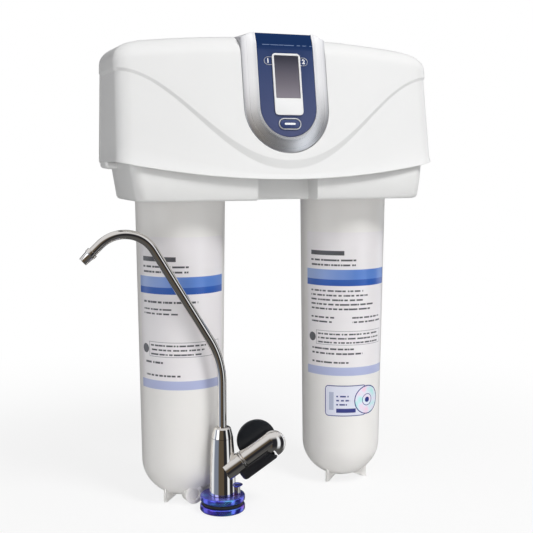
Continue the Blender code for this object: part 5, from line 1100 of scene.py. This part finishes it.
# %% The round boss at the left canister's foot
BOSS_RADIUS = 0.0090
BOSS_RECESS_RADIUS = 0.0053
BOSS_RECESS_DEPTH = 0.0022
BOSS_REACH = 0.0290
BOSS_ROOT = 0.0190
BOSS_LIFT = 0.0004
BOSS_TURN = math.radians(-84.0)
BOSS_EASE = 0.0007
recess_floor = BOSS_REACH - BOSS_RECESS_DEPTH
boss_profile = [
    (0, BOSS_ROOT), (BOSS_RADIUS, BOSS_ROOT),
    *arc((BOSS_RADIUS - BOSS_EASE, BOSS_REACH - BOSS_EASE), BOSS_EASE, 0, 90, 5),
    (BOSS_RECESS_RADIUS + BOSS_EASE / 2, BOSS_REACH), (BOSS_RECESS_RADIUS, BOSS_REACH - BOSS_EASE / 2),
    (BOSS_RECESS_RADIUS - BOSS_EASE / 2, recess_floor), (0, recess_floor),
]
boss_place = Matrix.Translation(left_axis + Vector((0, 0, BOSS_RADIUS + BOSS_LIFT)))
boss_place = boss_place @ Matrix.Rotation(BOSS_TURN + math.pi / 2, 4, "Z")
boss_place = boss_place @ Matrix.Rotation(math.pi / 2, 4, "X")
boss = turned(boss_profile, SMALL_SIDES, boss_place)
add_piece("left_boss", boss, canister_finish, body="left_cartridge", slot="canister_white")

# %% [markdown]
# ## Labels
# A label is a thin sheet wrapped round the canister. It is drawn in slices from its left edge to
# its right, with a UV map in metres from its lower left corner, and the print reads that map. The
# print is plain: bars where a label has its small type, and bands of blue.

# %% Wrap a sheet round a canister
LABEL_THICKNESS = 0.00014
LABEL_GAP = 0.00004


def wrapped_sheet(axis, first_angle, width, columns, edges, rows=1, lift=LABEL_GAP):
    """A thin sheet on the canister. Angles are from the front, positive to the right."""
    mean = canister_radius(sum(edges(0.5)) / 2)
    lowest = min(edges(i / columns)[0] for i in range(columns + 1))
    section = [(j / rows, lift + LABEL_THICKNESS) for j in range(rows + 1)]
    section += [(share, lift) for share, _ in reversed(section)]
    rings, flat = [], []
    for i in range(columns + 1):
        along = width * i / columns
        angle = first_angle + along / mean
        low, high = edges(i / columns)
        ring = []
        for share, out in section:
            z = low + (high - low) * share
            radius = canister_radius(z) + out
            ring.append((axis.x + radius * math.sin(angle), axis.y - radius * math.cos(angle), z))
            flat.append((along, z - lowest))
        rings.append(ring)
    sheet = slices(rings)
    page = sheet.uv_layers.new(name="UVMap")
    for loop in sheet.loops:
        page.data[loop.index].uv = flat[loop.vertex_index]
    return sheet


# %% Print with nodes
BAR_WANDER = 0.37
BAR_SHORTEST = 0.65
BAR_LOW = 0.28
BAR_HIGH = 0.64
WORD_SCALE = 420.0
WORD_GAP = 0.41
PAPER_SCALE = 22.0
PAPER_SHADES = (0.975, 1.01)
PAPER_GRAIN_SCALE = 120.0
PAPER_GRAIN = 0.00003


def start_print(name, paper, roughness=0.3):
    """A glossy paper with its flat coordinates in metres."""
    material, shader, where = start_finish(name, paper, roughness, coat=0.25)
    u, v, _ = axes(add_node("ShaderNodeUVMap", {}, material.node_tree, uv_map="UVMap").outputs[0])
    stops = [(place, shade_of(paper, share)) for place, share in zip((0.3, 0.7), PAPER_SHADES)]
    base = ramp(noise(where, PAPER_SCALE), stops)
    relief(shader, noise(where, PAPER_GRAIN_SCALE, 2.0), PAPER_GRAIN)
    return material, shader, u, v, base


def bars(u, v, left, right, top, pitch, count, seed):
    """Rows of short bars, broken as words are."""
    bottom = top - pitch * count
    rise = number("DIVIDE", number("SUBTRACT", v, bottom), pitch)
    row = number("FLOOR", rise)
    words = streaks(number("ADD", u, number("MULTIPLY_ADD", row, BAR_WANDER, seed)), WORD_SCALE, 1.0)
    ends = add_node("ShaderNodeTexWhiteNoise", {"W": number("ADD", row, seed)}, noise_dimensions="1D")
    sure = (right - left) * BAR_SHORTEST
    reach = number("MULTIPLY_ADD", ends.outputs["Value"], right - left - sure, left + sure)
    mask = number("MULTIPLY", inside(v, bottom, top), inside(number("FRACT", rise), BAR_LOW, BAR_HIGH))
    mask = number("MULTIPLY", mask, inside(u, left, reach))
    return number("MULTIPLY", mask, number("GREATER_THAN", words, WORD_GAP))


def box_mask(u, v, left, right, bottom, top):
    """One inside a rectangle."""
    return number("MULTIPLY", inside(u, left, right), inside(v, bottom, top))


# %% The labels' print
LABEL_FIRST = math.radians(-80.0)
LABEL_WIDTH = 0.0905
LABEL_LOW = 0.1095
LABEL_HIGH = 0.2460
LABEL_COLUMNS = 96
PAPER = (0.80, 0.775, 0.79)
PALE_BLUE = (0.30, 0.40, 0.68)
MID_BLUE = (0.10, 0.22, 0.58)
DARK_BLUE = (0.025, 0.10, 0.42)
LAVENDER = (0.42, 0.46, 0.68)
TYPE_GREY = (0.085, 0.085, 0.095)
LINE_GREY = (0.2, 0.2, 0.22)
BAND_LOW = 0.1955 - LABEL_LOW
BAND_SPLIT = 0.2015 - LABEL_LOW
BAND_HIGH = 0.2110 - LABEL_LOW
FOOT_BAND = 0.0080
HEADING_BOX = (0.0060, 0.0400, 0.1150, 0.1192)
HEADING_BARS = (0.0060, 0.0560, 0.1128, 0.0046, 2, 3.1)
NOTICE_BOX = (0.0120, 0.0840, 0.0295, 0.0430)
NOTICE_LINE = 0.0004
DOT_U = 0.0072
DOT_V = 0.0362
DOT_RADIUS = 0.0042


def label_print(name, rows):
    """A label: a heading bar, two bands of blue, rows of bars and a foot band."""
    material, shader, u, v, base = start_print(name, PAPER)
    stripe = ramp(number("DIVIDE", u, LABEL_WIDTH), [(0.10, PALE_BLUE), (0.55, MID_BLUE)])
    colour = blend(inside(v, BAND_SPLIT, BAND_HIGH), base, stripe)
    colour = blend(inside(v, BAND_LOW, BAND_SPLIT), colour, DARK_BLUE)
    colour = blend(inside(v, 0.0, FOOT_BAND), colour, LAVENDER)
    colour = blend(box_mask(u, v, *HEADING_BOX), colour, TYPE_GREY)
    for row in (HEADING_BARS, *rows):
        colour = blend(bars(u, v, *row), colour, TYPE_GREY)
    left, right, bottom, top = NOTICE_BOX
    inner = (left + NOTICE_LINE, right - NOTICE_LINE, bottom + NOTICE_LINE, top - NOTICE_LINE)
    line = number("SUBTRACT", box_mask(u, v, *NOTICE_BOX), box_mask(u, v, *inner))
    colour = blend(line, colour, LINE_GREY)
    far_off = reach_of(number("SUBTRACT", u, DOT_U), number("SUBTRACT", v, DOT_V))
    colour = blend(number("LESS_THAN", far_off, DOT_RADIUS), colour, TYPE_GREY)
    feed(shader.inputs["Base Color"], colour)
    return material


def label_edges(share):
    """A label is equally high all along."""
    return LABEL_LOW, LABEL_HIGH


# Each row of bars has its left, right, top, pitch, count and seed.
left_rows = [
    (0.0060, 0.0640, 0.0815, 0.0050, 1, 1.7), (0.0060, 0.0460, 0.0745, 0.0040, 2, 5.2),
    (0.0140, 0.0820, 0.0420, 0.0040, 3, 2.4), (0.0070, 0.0360, 0.0270, 0.0050, 1, 8.8),
    (0.0070, 0.0460, 0.0150, 0.0045, 1, 4.9),
]
right_rows = [
    (0.0060, 0.0740, 0.0835, 0.0043, 5, 6.3), (0.0060, 0.0400, 0.0580, 0.0042, 2, 7.7),
    (0.0480, 0.0860, 0.0580, 0.0042, 2, 9.1), (0.0140, 0.0820, 0.0420, 0.0040, 3, 3.6),
    (0.0070, 0.0700, 0.0280, 0.0045, 2, 1.2), (0.0070, 0.0460, 0.0150, 0.0045, 1, 5.5),
]
for side, axis, rows in (("left", left_axis, left_rows), ("right", right_axis, right_rows)):
    sheet = wrapped_sheet(axis, LABEL_FIRST, LABEL_WIDTH, LABEL_COLUMNS, label_edges)
    add_piece(side + "_label", sheet, label_print(side + "_label_print", rows), body=side + "_cartridge")

# %% [markdown]
# ## The sticker
# Below the right label sits a small glossy sticker with a dark blue rim and a round badge over
# its end. Its slices have the heights of a rounded box and of a circle.

# %% Rounded sheets
STICKER_FIRST = math.radians(-48.0)
STICKER_WIDTH = 0.0410
STICKER_LOW = 0.0700
STICKER_HIGH = 0.1000
STICKER_CORNER = 0.0035
STICKER_LINE = 0.0008
STICKER_COLUMNS = 80
STICKER_PICTURE = (0.0040, 0.0085, 0.0060, 0.0235)
STICKER_BARS = (0.0110, 0.0260, 0.0215, 0.0040, 3, 2.2)
STICKER_FOOT = (0.0110, 0.0300, 0.0035, 0.0075)
PICTURE_GREY = (0.42, 0.46, 0.60)
BADGE_RADIUS = 0.0140
BADGE_MIDDLE = math.radians(15.5)
BADGE_HEIGHT = 0.0850
BADGE_LINE = 0.0009
BADGE_RING = (0.0052, 0.0058)
BADGE_DOT = 0.0026
BADGE_COLUMNS = 72
BADGE_THINNEST = 0.0004
BADGE_SCALE = 110.0
NAVY_INK = (0.035, 0.045, 0.23)
BADGE_TINTS = [(0.3, (0.45, 0.80, 0.78)), (0.5, (0.72, 0.76, 0.86)), (0.7, (0.86, 0.60, 0.74))]


def rounded_edges(share):
    """The heights of a box with round corners at a share of its width."""
    inset = min(share, 1 - share) * STICKER_WIDTH
    drop = 0.0
    if inset < STICKER_CORNER:
        drop = STICKER_CORNER - math.sqrt(STICKER_CORNER ** 2 - (STICKER_CORNER - inset) ** 2)
    return STICKER_LOW + drop, STICKER_HIGH - drop


def badge_edges(share):
    """The heights of a circle at a share of its width."""
    half = BADGE_RADIUS * math.sqrt(max(1 - (2 * share - 1) ** 2, BADGE_THINNEST))
    return BADGE_HEIGHT - half, BADGE_HEIGHT + half


def past_corner(value, size):
    """How far a value lies past the middle of a corner's round, at either end."""
    off = number("ABSOLUTE", number("SUBTRACT", value, size / 2))
    return number("MAXIMUM", number("SUBTRACT", off, size / 2 - STICKER_CORNER), 0.0)


# %% Print and place the sticker and the badge
sticker_print, shader, u, v, colour = start_print("sticker_print", (0.70, 0.72, 0.82))
colour = blend(box_mask(u, v, *STICKER_PICTURE), colour, PICTURE_GREY)
colour = blend(bars(u, v, *STICKER_BARS), colour, NAVY_INK)
colour = blend(box_mask(u, v, *STICKER_FOOT), colour, NAVY_INK)
off = reach_of(past_corner(u, STICKER_WIDTH), past_corner(v, STICKER_HIGH - STICKER_LOW))
rim = number("GREATER_THAN", off, STICKER_CORNER - STICKER_LINE)
feed(shader.inputs["Base Color"], blend(rim, colour, NAVY_INK))
sticker = wrapped_sheet(right_axis, STICKER_FIRST, STICKER_WIDTH, STICKER_COLUMNS, rounded_edges, 2)
add_piece("service_sticker", sticker, sticker_print, body="right_cartridge")

badge_print, shader, u, v, _ = start_print("badge_print", (0.70, 0.76, 0.82), 0.2)
colour = ramp(noise(coordinates(badge_print.node_tree), BADGE_SCALE, 2.0), BADGE_TINTS)
off = reach_of(number("SUBTRACT", u, BADGE_RADIUS), number("SUBTRACT", v, BADGE_RADIUS))
for mask in (
    inside(off, *BADGE_RING), number("LESS_THAN", off, BADGE_DOT),
    number("GREATER_THAN", off, BADGE_RADIUS - BADGE_LINE),
):
    colour = blend(mask, colour, NAVY_INK)
feed(shader.inputs["Base Color"], colour)
badge_first = BADGE_MIDDLE - BADGE_RADIUS / canister_radius(BADGE_HEIGHT)
badge_lift = LABEL_GAP + LABEL_THICKNESS * 1.5
badge = wrapped_sheet(right_axis, badge_first, 2 * BADGE_RADIUS, BADGE_COLUMNS, badge_edges, 2, badge_lift)
add_piece("round_badge", badge, badge_print, body="right_cartridge")

# %% [markdown]
# ## The tap
# The tap is chrome on a pair of round flanges under blue film. Its column and its slanted branch
# are cast in one, so they are turned apart and joined. The spout is a tube along a line, which
# Geometry Nodes sweep.

# %% Places of the tap
TAP_TURN = math.radians(-5.0)
BRANCH_HEIGHT = 0.0355
BRANCH_RISE = math.radians(32.5)
BRANCH_OFFSET = 0.0065
tap_place = Matrix.Translation(tap_axis) @ Matrix.Rotation(TAP_TURN, 4, "Z")
branch_place = tap_place @ Matrix.Translation((0, -BRANCH_OFFSET, BRANCH_HEIGHT))
branch_place = branch_place @ Matrix.Rotation(math.pi / 2 - BRANCH_RISE, 4, "Y")

# %% Blue film over chrome
FILM_SQUEEZE = (1.0, 1.0, 2.6)
FILM_SCALE = 55.0
FILM_GRAIN_SCALE = 240.0
FILM_GRAIN = 0.00012
FILM_TINTS = [
    (0.30, (0.26, 0.08, 0.66)), (0.45, (0.07, 0.07, 0.62)), (0.58, (0.12, 0.16, 0.90)),
    (0.68, (0.14, 0.50, 0.92)), (0.78, (0.42, 0.18, 0.82)),
]
blue_finish, shader, where = start_finish("base_blue", (0.05, 0.08, 0.70), 0.10, metallic=0.85, coat=0.6)
squeezed = add_node("ShaderNodeMapping", {"Vector": where, "Scale": FILM_SQUEEZE}).outputs[0]
feed(shader.inputs["Base Color"], ramp(noise(squeezed, FILM_SCALE, 2.5), FILM_TINTS))
relief(shader, noise(where, FILM_GRAIN_SCALE), FILM_GRAIN)

# %% Flanges
BASE_RADIUS = 0.02025
BORE_RADIUS = 0.0043
BASE_ROUND = 0.00155
FLANGES = (("lower", 0.0, 0.00575), ("upper", 0.00885, 0.0144))


def ring_profile(outer, inner, low, high, rounding, steps=8):
    """A flat ring with a rounded rim."""
    side = outer - rounding
    upper = arc((side, high - rounding), rounding, 90, 0, steps)
    return [(inner, high), *upper, *arc((side, low + rounding), rounding, 0, -90, steps), (inner, low)]


for name, low, high in FLANGES:
    profile = ring_profile(BASE_RADIUS, BORE_RADIUS, low, high, BASE_ROUND)
    flange = turned(profile, place=tap_place, closed=True)
    add_piece(name + "_flange", flange, blue_finish, "tap_" + name + "_flange", slot="base_blue")

# %% Column and branch
COLUMN_BOTTOM = 0.0147
COLUMN_WAIST = 0.0384
COLUMN_SHOULDER = 0.0528
COLUMN_TOP = 0.06625
COLUMN_RADII = {COLUMN_BOTTOM: 0.0119, COLUMN_WAIST: 0.0114, COLUMN_SHOULDER: 0.01075, COLUMN_TOP: 0.0098}
BRANCH_RADIUS = 0.00845
BRANCH_START = 0.0018
BRANCH_END = 0.0186
BORE_LOW = 0.01
BORE_HIGH = 0.04
EDGE = 0.0004


def curve_through(radii, steps):
    """Fill a profile with points on a smooth curve through its radii."""
    heights = sorted(radii)
    points = []
    for i in range(len(heights) - 1):
        below, low, high = heights[max(i - 1, 0)], heights[i], heights[i + 1]
        above = heights[min(i + 2, len(heights) - 1)]
        span = high - low
        start_slope = (radii[high] - radii[below]) / (high - below)
        end_slope = (radii[above] - radii[low]) / (above - low)
        for j in range(steps):
            t = j / steps
            radius = (
                (2 * t ** 3 - 3 * t ** 2 + 1) * radii[low] + (t ** 3 - 2 * t ** 2 + t) * span * start_slope
                + (3 * t ** 2 - 2 * t ** 3) * radii[high] + (t ** 3 - t ** 2) * span * end_slope
            )
            points.append((radius, low + span * t))
    return points + [(radii[heights[-1]], heights[-1])]


column = turned([(0, COLUMN_BOTTOM), *curve_through(COLUMN_RADII, 8), (0, COLUMN_TOP)], place=tap_place)
branch = turned([
    (0, BRANCH_START), (BRANCH_RADIUS, BRANCH_START), (BRANCH_RADIUS, BRANCH_END - EDGE),
    (BRANCH_RADIUS - EDGE, BRANCH_END), (0, BRANCH_END),
], SMALL_SIDES, branch_place)
column = carve(carve(column, branch, "UNION"), rod(BORE_RADIUS, BORE_LOW, BORE_HIGH, tap_place))
add_piece("tap_column", column, chrome_finish, "tap_body", slot="chrome")

# %% The small lug beside the column, with its film cap
LUG_RADIUS = 0.0034
LUG_TOP = 0.0212
LUG_OUT = 0.0122
LUG_AHEAD = 0.0035
LUG_CAP_RADIUS = 0.0056
LUG_CAP_TOP = 0.0232
LUG_CAP_ROUND = 0.0005
lug_place = tap_place @ Matrix.Translation((LUG_OUT, -LUG_AHEAD, 0))
add_piece("column_lug", rod(LUG_RADIUS, COLUMN_BOTTOM, LUG_TOP, lug_place), chrome_finish, slot="chrome")
cap_profile = [
    (0, LUG_TOP), (LUG_RADIUS, LUG_TOP),
    *arc((LUG_CAP_RADIUS - LUG_CAP_ROUND, LUG_CAP_TOP - LUG_CAP_ROUND), LUG_CAP_ROUND, 0, 90, 5),
    (LUG_RADIUS, LUG_CAP_TOP - EDGE), (0, LUG_CAP_TOP - EDGE),
]
add_piece("lug_film_cap", turned(cap_profile, SMALL_SIDES, lug_place), blue_finish, slot="base_blue")

# %% Nut and bonnet
NUT_TOP = 0.0763
NUT_TOP_RADIUS = 0.00805
NUT_ROUND = 0.0025
TUBE_RADIUS = 0.0040
BONNET_RADIUS = 0.00805
BONNET_BORE = 0.0035
BONNET_HEIGHT = 0.00175
BONNET_ROUND = 0.0006
nut_profile = [
    (TUBE_RADIUS + AIR, NUT_TOP),
    *arc((NUT_TOP_RADIUS - NUT_ROUND, NUT_TOP - NUT_ROUND), NUT_ROUND, 90, 8, 10),
    (COLUMN_RADII[COLUMN_TOP], COLUMN_TOP + AIR), (TUBE_RADIUS + AIR, COLUMN_TOP + AIR),
]
nut = turned(nut_profile, place=tap_place, closed=True)
add_piece("column_nut", nut, chrome_finish, "spout_nut", slot="chrome")
bonnet_low = BRANCH_END + AIR
bonnet_high = bonnet_low + BONNET_HEIGHT
bonnet_profile = ring_profile(BONNET_RADIUS, BONNET_BORE, bonnet_low, bonnet_high, BONNET_ROUND, 5)
bonnet = turned(bonnet_profile, SMALL_SIDES, branch_place, closed=True)
add_piece("branch_bonnet", bonnet, chrome_finish, "valve_bonnet", slot="chrome")

# %% The spout's line
TUBE_START = 0.05375
TUBE_STRAIGHT_TOP = 0.1160
TUBE_LEAN = math.radians(31.0)
TUBE_END_LEAN = math.radians(134.0)
TUBE_LOW_BEND = 0.07775
TUBE_SLANT_LENGTH = 0.0932
TUBE_HIGH_BEND = 0.02975
TUBE_TAIL = 0.0144
TUBE_SIDES = 48


def spout_line():
    """Up the column, leaning over, round the top bend and down to the nozzle."""
    points = [Vector((0, 0, TUBE_START)), Vector((0, 0, TUBE_STRAIGHT_TOP))]

    def bend_to(start, end, radius, steps):
        here = points[-1].copy()
        for i in range(1, steps + 1):
            lean = start + (end - start) * i / steps
            shift = radius * (math.cos(lean) - math.cos(start))
            rise = radius * (math.sin(lean) - math.sin(start))
            points.append(here + Vector((shift, 0, rise)))

    def go(length, lean):
        points.append(points[-1] + length * Vector((-math.sin(lean), 0, math.cos(lean))))

    bend_to(0.0, TUBE_LEAN, TUBE_LOW_BEND, 18)
    go(TUBE_SLANT_LENGTH, TUBE_LEAN)
    bend_to(TUBE_LEAN, TUBE_END_LEAN, TUBE_HIGH_BEND, 36)
    go(TUBE_TAIL, TUBE_END_LEAN)
    return points


# %% Sweep the tube
round_line = sweep_tree(
    "round_tube", "GeometryNodeCurvePrimitiveCircle",
    ("Radius", "Float", TUBE_RADIUS), ("Resolution", "Int", TUBE_SIDES),
)
route = spout_line()
sizes = {"Radius": TUBE_RADIUS, "Resolution": TUBE_SIDES, "Finish": chrome_finish}
tube = grown(line_mesh([tuple(point) for point in route]), round_line, tap_place, sizes)
add_piece("bent_spout", tube, chrome_finish, "spout_tube", body="spout", slot="chrome")

# %% Nozzle
NOZZLE_RADIUS = 0.0051
NOZZLE_TIP_RADIUS = 0.00385
NOZZLE_LENGTH = 0.012
NOZZLE_BAND = 0.00345
NOZZLE_SLOPE = 0.0010
NOZZLE_CUP = 0.00575
NOZZLE_EDGE = 0.0002
NOZZLE_SLACK = 0.0001
MOUTH_RADIUS = 0.0030
along = (route[-1] - route[-2]).normalized()
mouth_place = tap_place @ Matrix.Translation(route[-1]) @ along.to_track_quat("Z", "Y").to_matrix().to_4x4()
start, reach = -NOZZLE_CUP, -NOZZLE_CUP + NOZZLE_LENGTH
nozzle_profile = [
    (MOUTH_RADIUS, AIR), (MOUTH_RADIUS, reach - NOZZLE_EDGE), (MOUTH_RADIUS + NOZZLE_EDGE, reach),
    (NOZZLE_TIP_RADIUS - NOZZLE_EDGE, reach), (NOZZLE_TIP_RADIUS, reach - NOZZLE_EDGE),
    ((NOZZLE_TIP_RADIUS + NOZZLE_RADIUS) / 2, start + NOZZLE_BAND + NOZZLE_SLOPE),
    (NOZZLE_RADIUS - NOZZLE_EDGE, start + NOZZLE_BAND), (NOZZLE_RADIUS, start + NOZZLE_BAND - NOZZLE_EDGE),
    (NOZZLE_RADIUS, start + NOZZLE_EDGE), (NOZZLE_RADIUS - NOZZLE_EDGE, start),
    (TUBE_RADIUS + NOZZLE_SLACK, start), (TUBE_RADIUS + NOZZLE_SLACK, AIR),
]
nozzle = turned(nozzle_profile, SMALL_SIDES, mouth_place, closed=True)
add_piece("spout_tip", nozzle, chrome_finish, "spout_nozzle", body="spout", slot="chrome")

# %% [markdown]
# ## The lever
# The lever is a chrome bar that ends in a flattened ball, with a black grip below and a round
# black paddle behind. Ball and bar are joined, then the grip's seat is cut away.

# %% Handle
HANDLE_RADIUS = 0.0078
HANDLE_LENGTH = 0.0294
HANDLE_END_RADIUS = 0.0122
HANDLE_END_DROP = 0.0044
BALL_SWELL = 1.01
GRIP_START = 0.01135
GRIP_LENGTH = 0.03745
GRIP_BOTTOM = 0.0165
GRIP_THICKNESS = 0.01345
GRIP_ROUND = 0.0036
RUN_GAP = 0.0004
CUT_PAST = 0.001
handle_start = bonnet_high + RUN_GAP
handle_end = handle_start + HANDLE_LENGTH
grip_end = GRIP_START + GRIP_LENGTH
ball_depth = HANDLE_RADIUS * BALL_SWELL


def flat_ball(gap):
    """The flattened ball at the handle's end, larger by a gap where it cuts."""
    form = bmesh.new()
    bmesh.ops.create_uvsphere(form, u_segments=64, v_segments=40, radius=1.0)
    size = (HANDLE_END_RADIUS + gap, ball_depth + gap, HANDLE_END_RADIUS + gap)
    bmesh.ops.scale(form, vec=size, verts=form.verts)
    return from_form(form, branch_place @ Matrix.Translation((HANDLE_END_DROP, 0, handle_end)))


handle = turned([
    (0, handle_start), (HANDLE_RADIUS - EDGE, handle_start), (HANDLE_RADIUS, handle_start + EDGE),
    (HANDLE_RADIUS, handle_end), (0, handle_end),
], SMALL_SIDES, branch_place)
seat = brick(
    (HANDLE_RADIUS + AIR, -HANDLE_END_RADIUS, GRIP_START),
    (HANDLE_END_RADIUS * 2, HANDLE_END_RADIUS, grip_end + AIR), branch_place,
)
handle = carve(carve(handle, flat_ball(0.0), "UNION"), seat)
add_piece("chrome_lever", handle, chrome_finish, "lever_handle", body="lever", slot="chrome")

# %% Grip
grip = eased(brick(
    (HANDLE_RADIUS / 2, -GRIP_THICKNESS / 2, GRIP_START),
    (GRIP_BOTTOM, GRIP_THICKNESS / 2, grip_end), branch_place,
), GRIP_ROUND, 8)
for tool in (
    rod(HANDLE_RADIUS + AIR, GRIP_START - CUT_PAST, grip_end + CUT_PAST, branch_place),
    rod(BRANCH_RADIUS + RUN_GAP, GRIP_START - CUT_PAST, handle_start, branch_place),
    flat_ball(AIR * 2),
):
    grip = carve(grip, tool)
add_piece("black_grip", grip, grip_finish, "lever_grip", body="lever", slot="grip_black")

# %% Paddle
PADDLE_RADIUS = 0.01815
PADDLE_THICKNESS = 0.00385
PADDLE_ROUND = 0.00115
PADDLE_ALONG = 0.0413
PADDLE_ACROSS = 0.0042
PADDLE_DISH = (0.72, 0.68)
paddle_place = branch_place @ Matrix.Translation((-PADDLE_ACROSS, ball_depth + AIR, PADDLE_ALONG))
paddle_place = paddle_place @ Matrix.Rotation(-math.pi / 2, 4, "X")
side = PADDLE_RADIUS - PADDLE_ROUND
paddle_profile = [
    (0, 0), *arc((side, PADDLE_ROUND), PADDLE_ROUND, -90, 0, 6),
    *arc((side, PADDLE_THICKNESS - PADDLE_ROUND), PADDLE_ROUND, 0, 90, 6),
    (PADDLE_RADIUS * PADDLE_DISH[0], PADDLE_THICKNESS),
    (PADDLE_RADIUS * PADDLE_DISH[1], PADDLE_THICKNESS - EDGE), (0, PADDLE_THICKNESS - EDGE),
]
paddle = turned(paddle_profile, place=paddle_place)
add_piece("round_paddle", paddle, paddle_finish, "lever_paddle", body="lever", slot="grip_black")

# %% [markdown]
# ## Camera, floor and light
# The camera stands where a camera fitted to the photograph stands. The floor fades into the white
# of the world away from the set, and keeps the set's shadow near it. Mirrors see a room with
# bright and dark bands round its walls, because plated metal needs both to reflect.

# %% Camera
CAMERA_PLACE = (-0.306486, -0.844864, 0.3147)
CAMERA_DIP = 6.36
CAMERA_TURN = -20.79
LENS = 65.5
SENSOR = 36.0
camera_data = bpy.data.cameras.new("camera")
camera_data.lens = LENS
camera_data.sensor_width = SENSOR
camera = put("camera", camera_data)
camera.location = CAMERA_PLACE
camera.rotation_euler = (math.radians(90 - CAMERA_DIP), 0.0, math.radians(CAMERA_TURN))
bpy.context.scene.camera = camera

# %% Floor
HALF_FLOOR = 6.0
FLOOR_DROP = 0.0004
FLOOR_TINT = (0.90, 0.90, 0.90)
FADE_START = 0.15
FADE_END = 0.75
NEAR_WHITE = 0.82


def ray_kinds(tree):
    """The kinds of a ray, and one for rays from the camera and through glass."""
    kinds = add_node("ShaderNodeLightPath", {}, tree).outputs
    return kinds, number("MAXIMUM", kinds["Is Camera Ray"], kinds["Is Transmission Ray"])


floor_mesh = bpy.data.meshes.new("floor")
corners = [(x * HALF_FLOOR, y * HALF_FLOOR, 0) for x, y in ((-1, -1), (1, -1), (1, 1), (-1, 1))]
floor_mesh.from_pydata(corners, [], [(0, 1, 2, 3)])
floor = put("floor", floor_mesh)
floor_finish = bpy.data.materials.new("floor_white")
floor_finish.use_nodes = True
tree = floor_finish.node_tree
tree.nodes.clear()
matt = add_node("ShaderNodeBsdfDiffuse", {"Color": FLOOR_TINT}, tree)
glow = add_node("ShaderNodeEmission", {}, tree)
distance = add_node("ShaderNodeVectorMath", {0: coordinates(tree)}, operation="LENGTH").outputs["Value"]
fade = stretch(distance, FADE_START, FADE_END, NEAR_WHITE, 1.0, "SMOOTHSTEP")
share = number("MULTIPLY", fade, ray_kinds(tree)[1])
mix = add_node("ShaderNodeMixShader", {0: share, 1: matt.outputs[0], 2: glow.outputs[0]})
add_node("ShaderNodeOutputMaterial", {"Surface": mix.outputs[0]})
floor_mesh.materials.append(floor_finish)
floor.location.z = -FLOOR_DROP
floor.visible_glossy = False
floor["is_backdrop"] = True

# %% The room
AMBIENT = 0.32
LIGHT = (1.00, 1.05, 1.12)
MEDIUM = (0.24, 0.28, 0.37)
BROWN = (0.115, 0.09, 0.062)
DARK = (0.025, 0.025, 0.03)
DIM = (0.07, 0.07, 0.08)
CEILING = (0.80, 0.80, 0.82)
GROUND = (0.10, 0.10, 0.10)
CEILING_RISE = (0.35, 0.62)
GROUND_RISE = (-0.30, -0.60)
ROOM_BANDS = (
    (-180, MEDIUM), (-150, MEDIUM), (-138, BROWN), (-98, BROWN), (-90, DARK), (-66, DARK),
    (-59, LIGHT), (-46, LIGHT), (-38, DARK), (-8, DARK), (3, LIGHT), (24, LIGHT),
    (36, DIM), (132, DIM), (144, LIGHT), (164, LIGHT), (176, MEDIUM), (180, MEDIUM),
)


def room_colour(tree):
    """Bands round the walls, a pale ceiling and a dim ground, by the ray's direction."""
    x, y, z = axes(coordinates(tree, "Generated"))
    share = number("MULTIPLY_ADD", number("ARCTAN2", y, x), 0.5 / math.pi, 0.5)
    colour = ramp(share, [((angle + 180) / 360, tint) for angle, tint in ROOM_BANDS])
    for rise, tint in ((CEILING_RISE, CEILING), (GROUND_RISE, GROUND)):
        colour = blend(stretch(z, *rise), colour, tint)
    return colour


world = bpy.data.worlds.new("studio")
bpy.context.scene.world = world
world.use_nodes = True
sky = world.node_tree.nodes["Background"]
kinds, clear = ray_kinds(world.node_tree)
mirrored = kinds["Is Glossy Ray"]
strength = number("MULTIPLY_ADD", clear, 1 - AMBIENT, AMBIENT)
feed(sky.inputs["Strength"], number("MAXIMUM", strength, mirrored))
feed(sky.inputs["Color"], blend(mirrored, WHITE, room_colour(world.node_tree)))

# %% Lamps
set_middle = (cad_low + cad_high) / 2
for name, place, size, power, target, spread, in_mirrors in (
    ("side_lamp", (-1.40, -0.55, 0.45), 0.8, 2.6, set_middle, 180, True),
    ("key_lamp", (0.42, -1.00, 1.62), 0.5, 18.8, set_middle, 180, False),
    ("fill_lamp", (-0.45, -1.75, 0.10), 0.9, 0.8, set_middle, 180, False),
    ("low_lamp", (0.05, -1.50, 0.10), 0.5, 0.24, Vector((0.06, 0.0, -0.05)), 22, False),
):
    data = bpy.data.lights.new(name, "AREA")
    data.size = size
    data.energy = power
    data.spread = math.radians(spread)
    lamp = put(name, data)
    lamp.location = place
    lamp.rotation_euler = (target - Vector(place)).to_track_quat("-Z", "Y").to_euler()
    lamp.visible_glossy = in_mirrors
bpy.context.scene.view_settings.view_transform = "Standard"

# %% [markdown]
# ## Sizes
# Both boxes are gathered, and how far the dressed model's top corner lies past the CAD one is printed.

# %% Sizes and the last step
low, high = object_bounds()
sizes = {
    "cad": [[float(value) for value in cad_low], [float(value) for value in cad_high]],
    "visual": [[float(value) for value in low], [float(value) for value in high]],
}
print("grown in millimetres", [round((float(b) - float(a)) * 1000, 2) for a, b in zip(cad_high, high)])
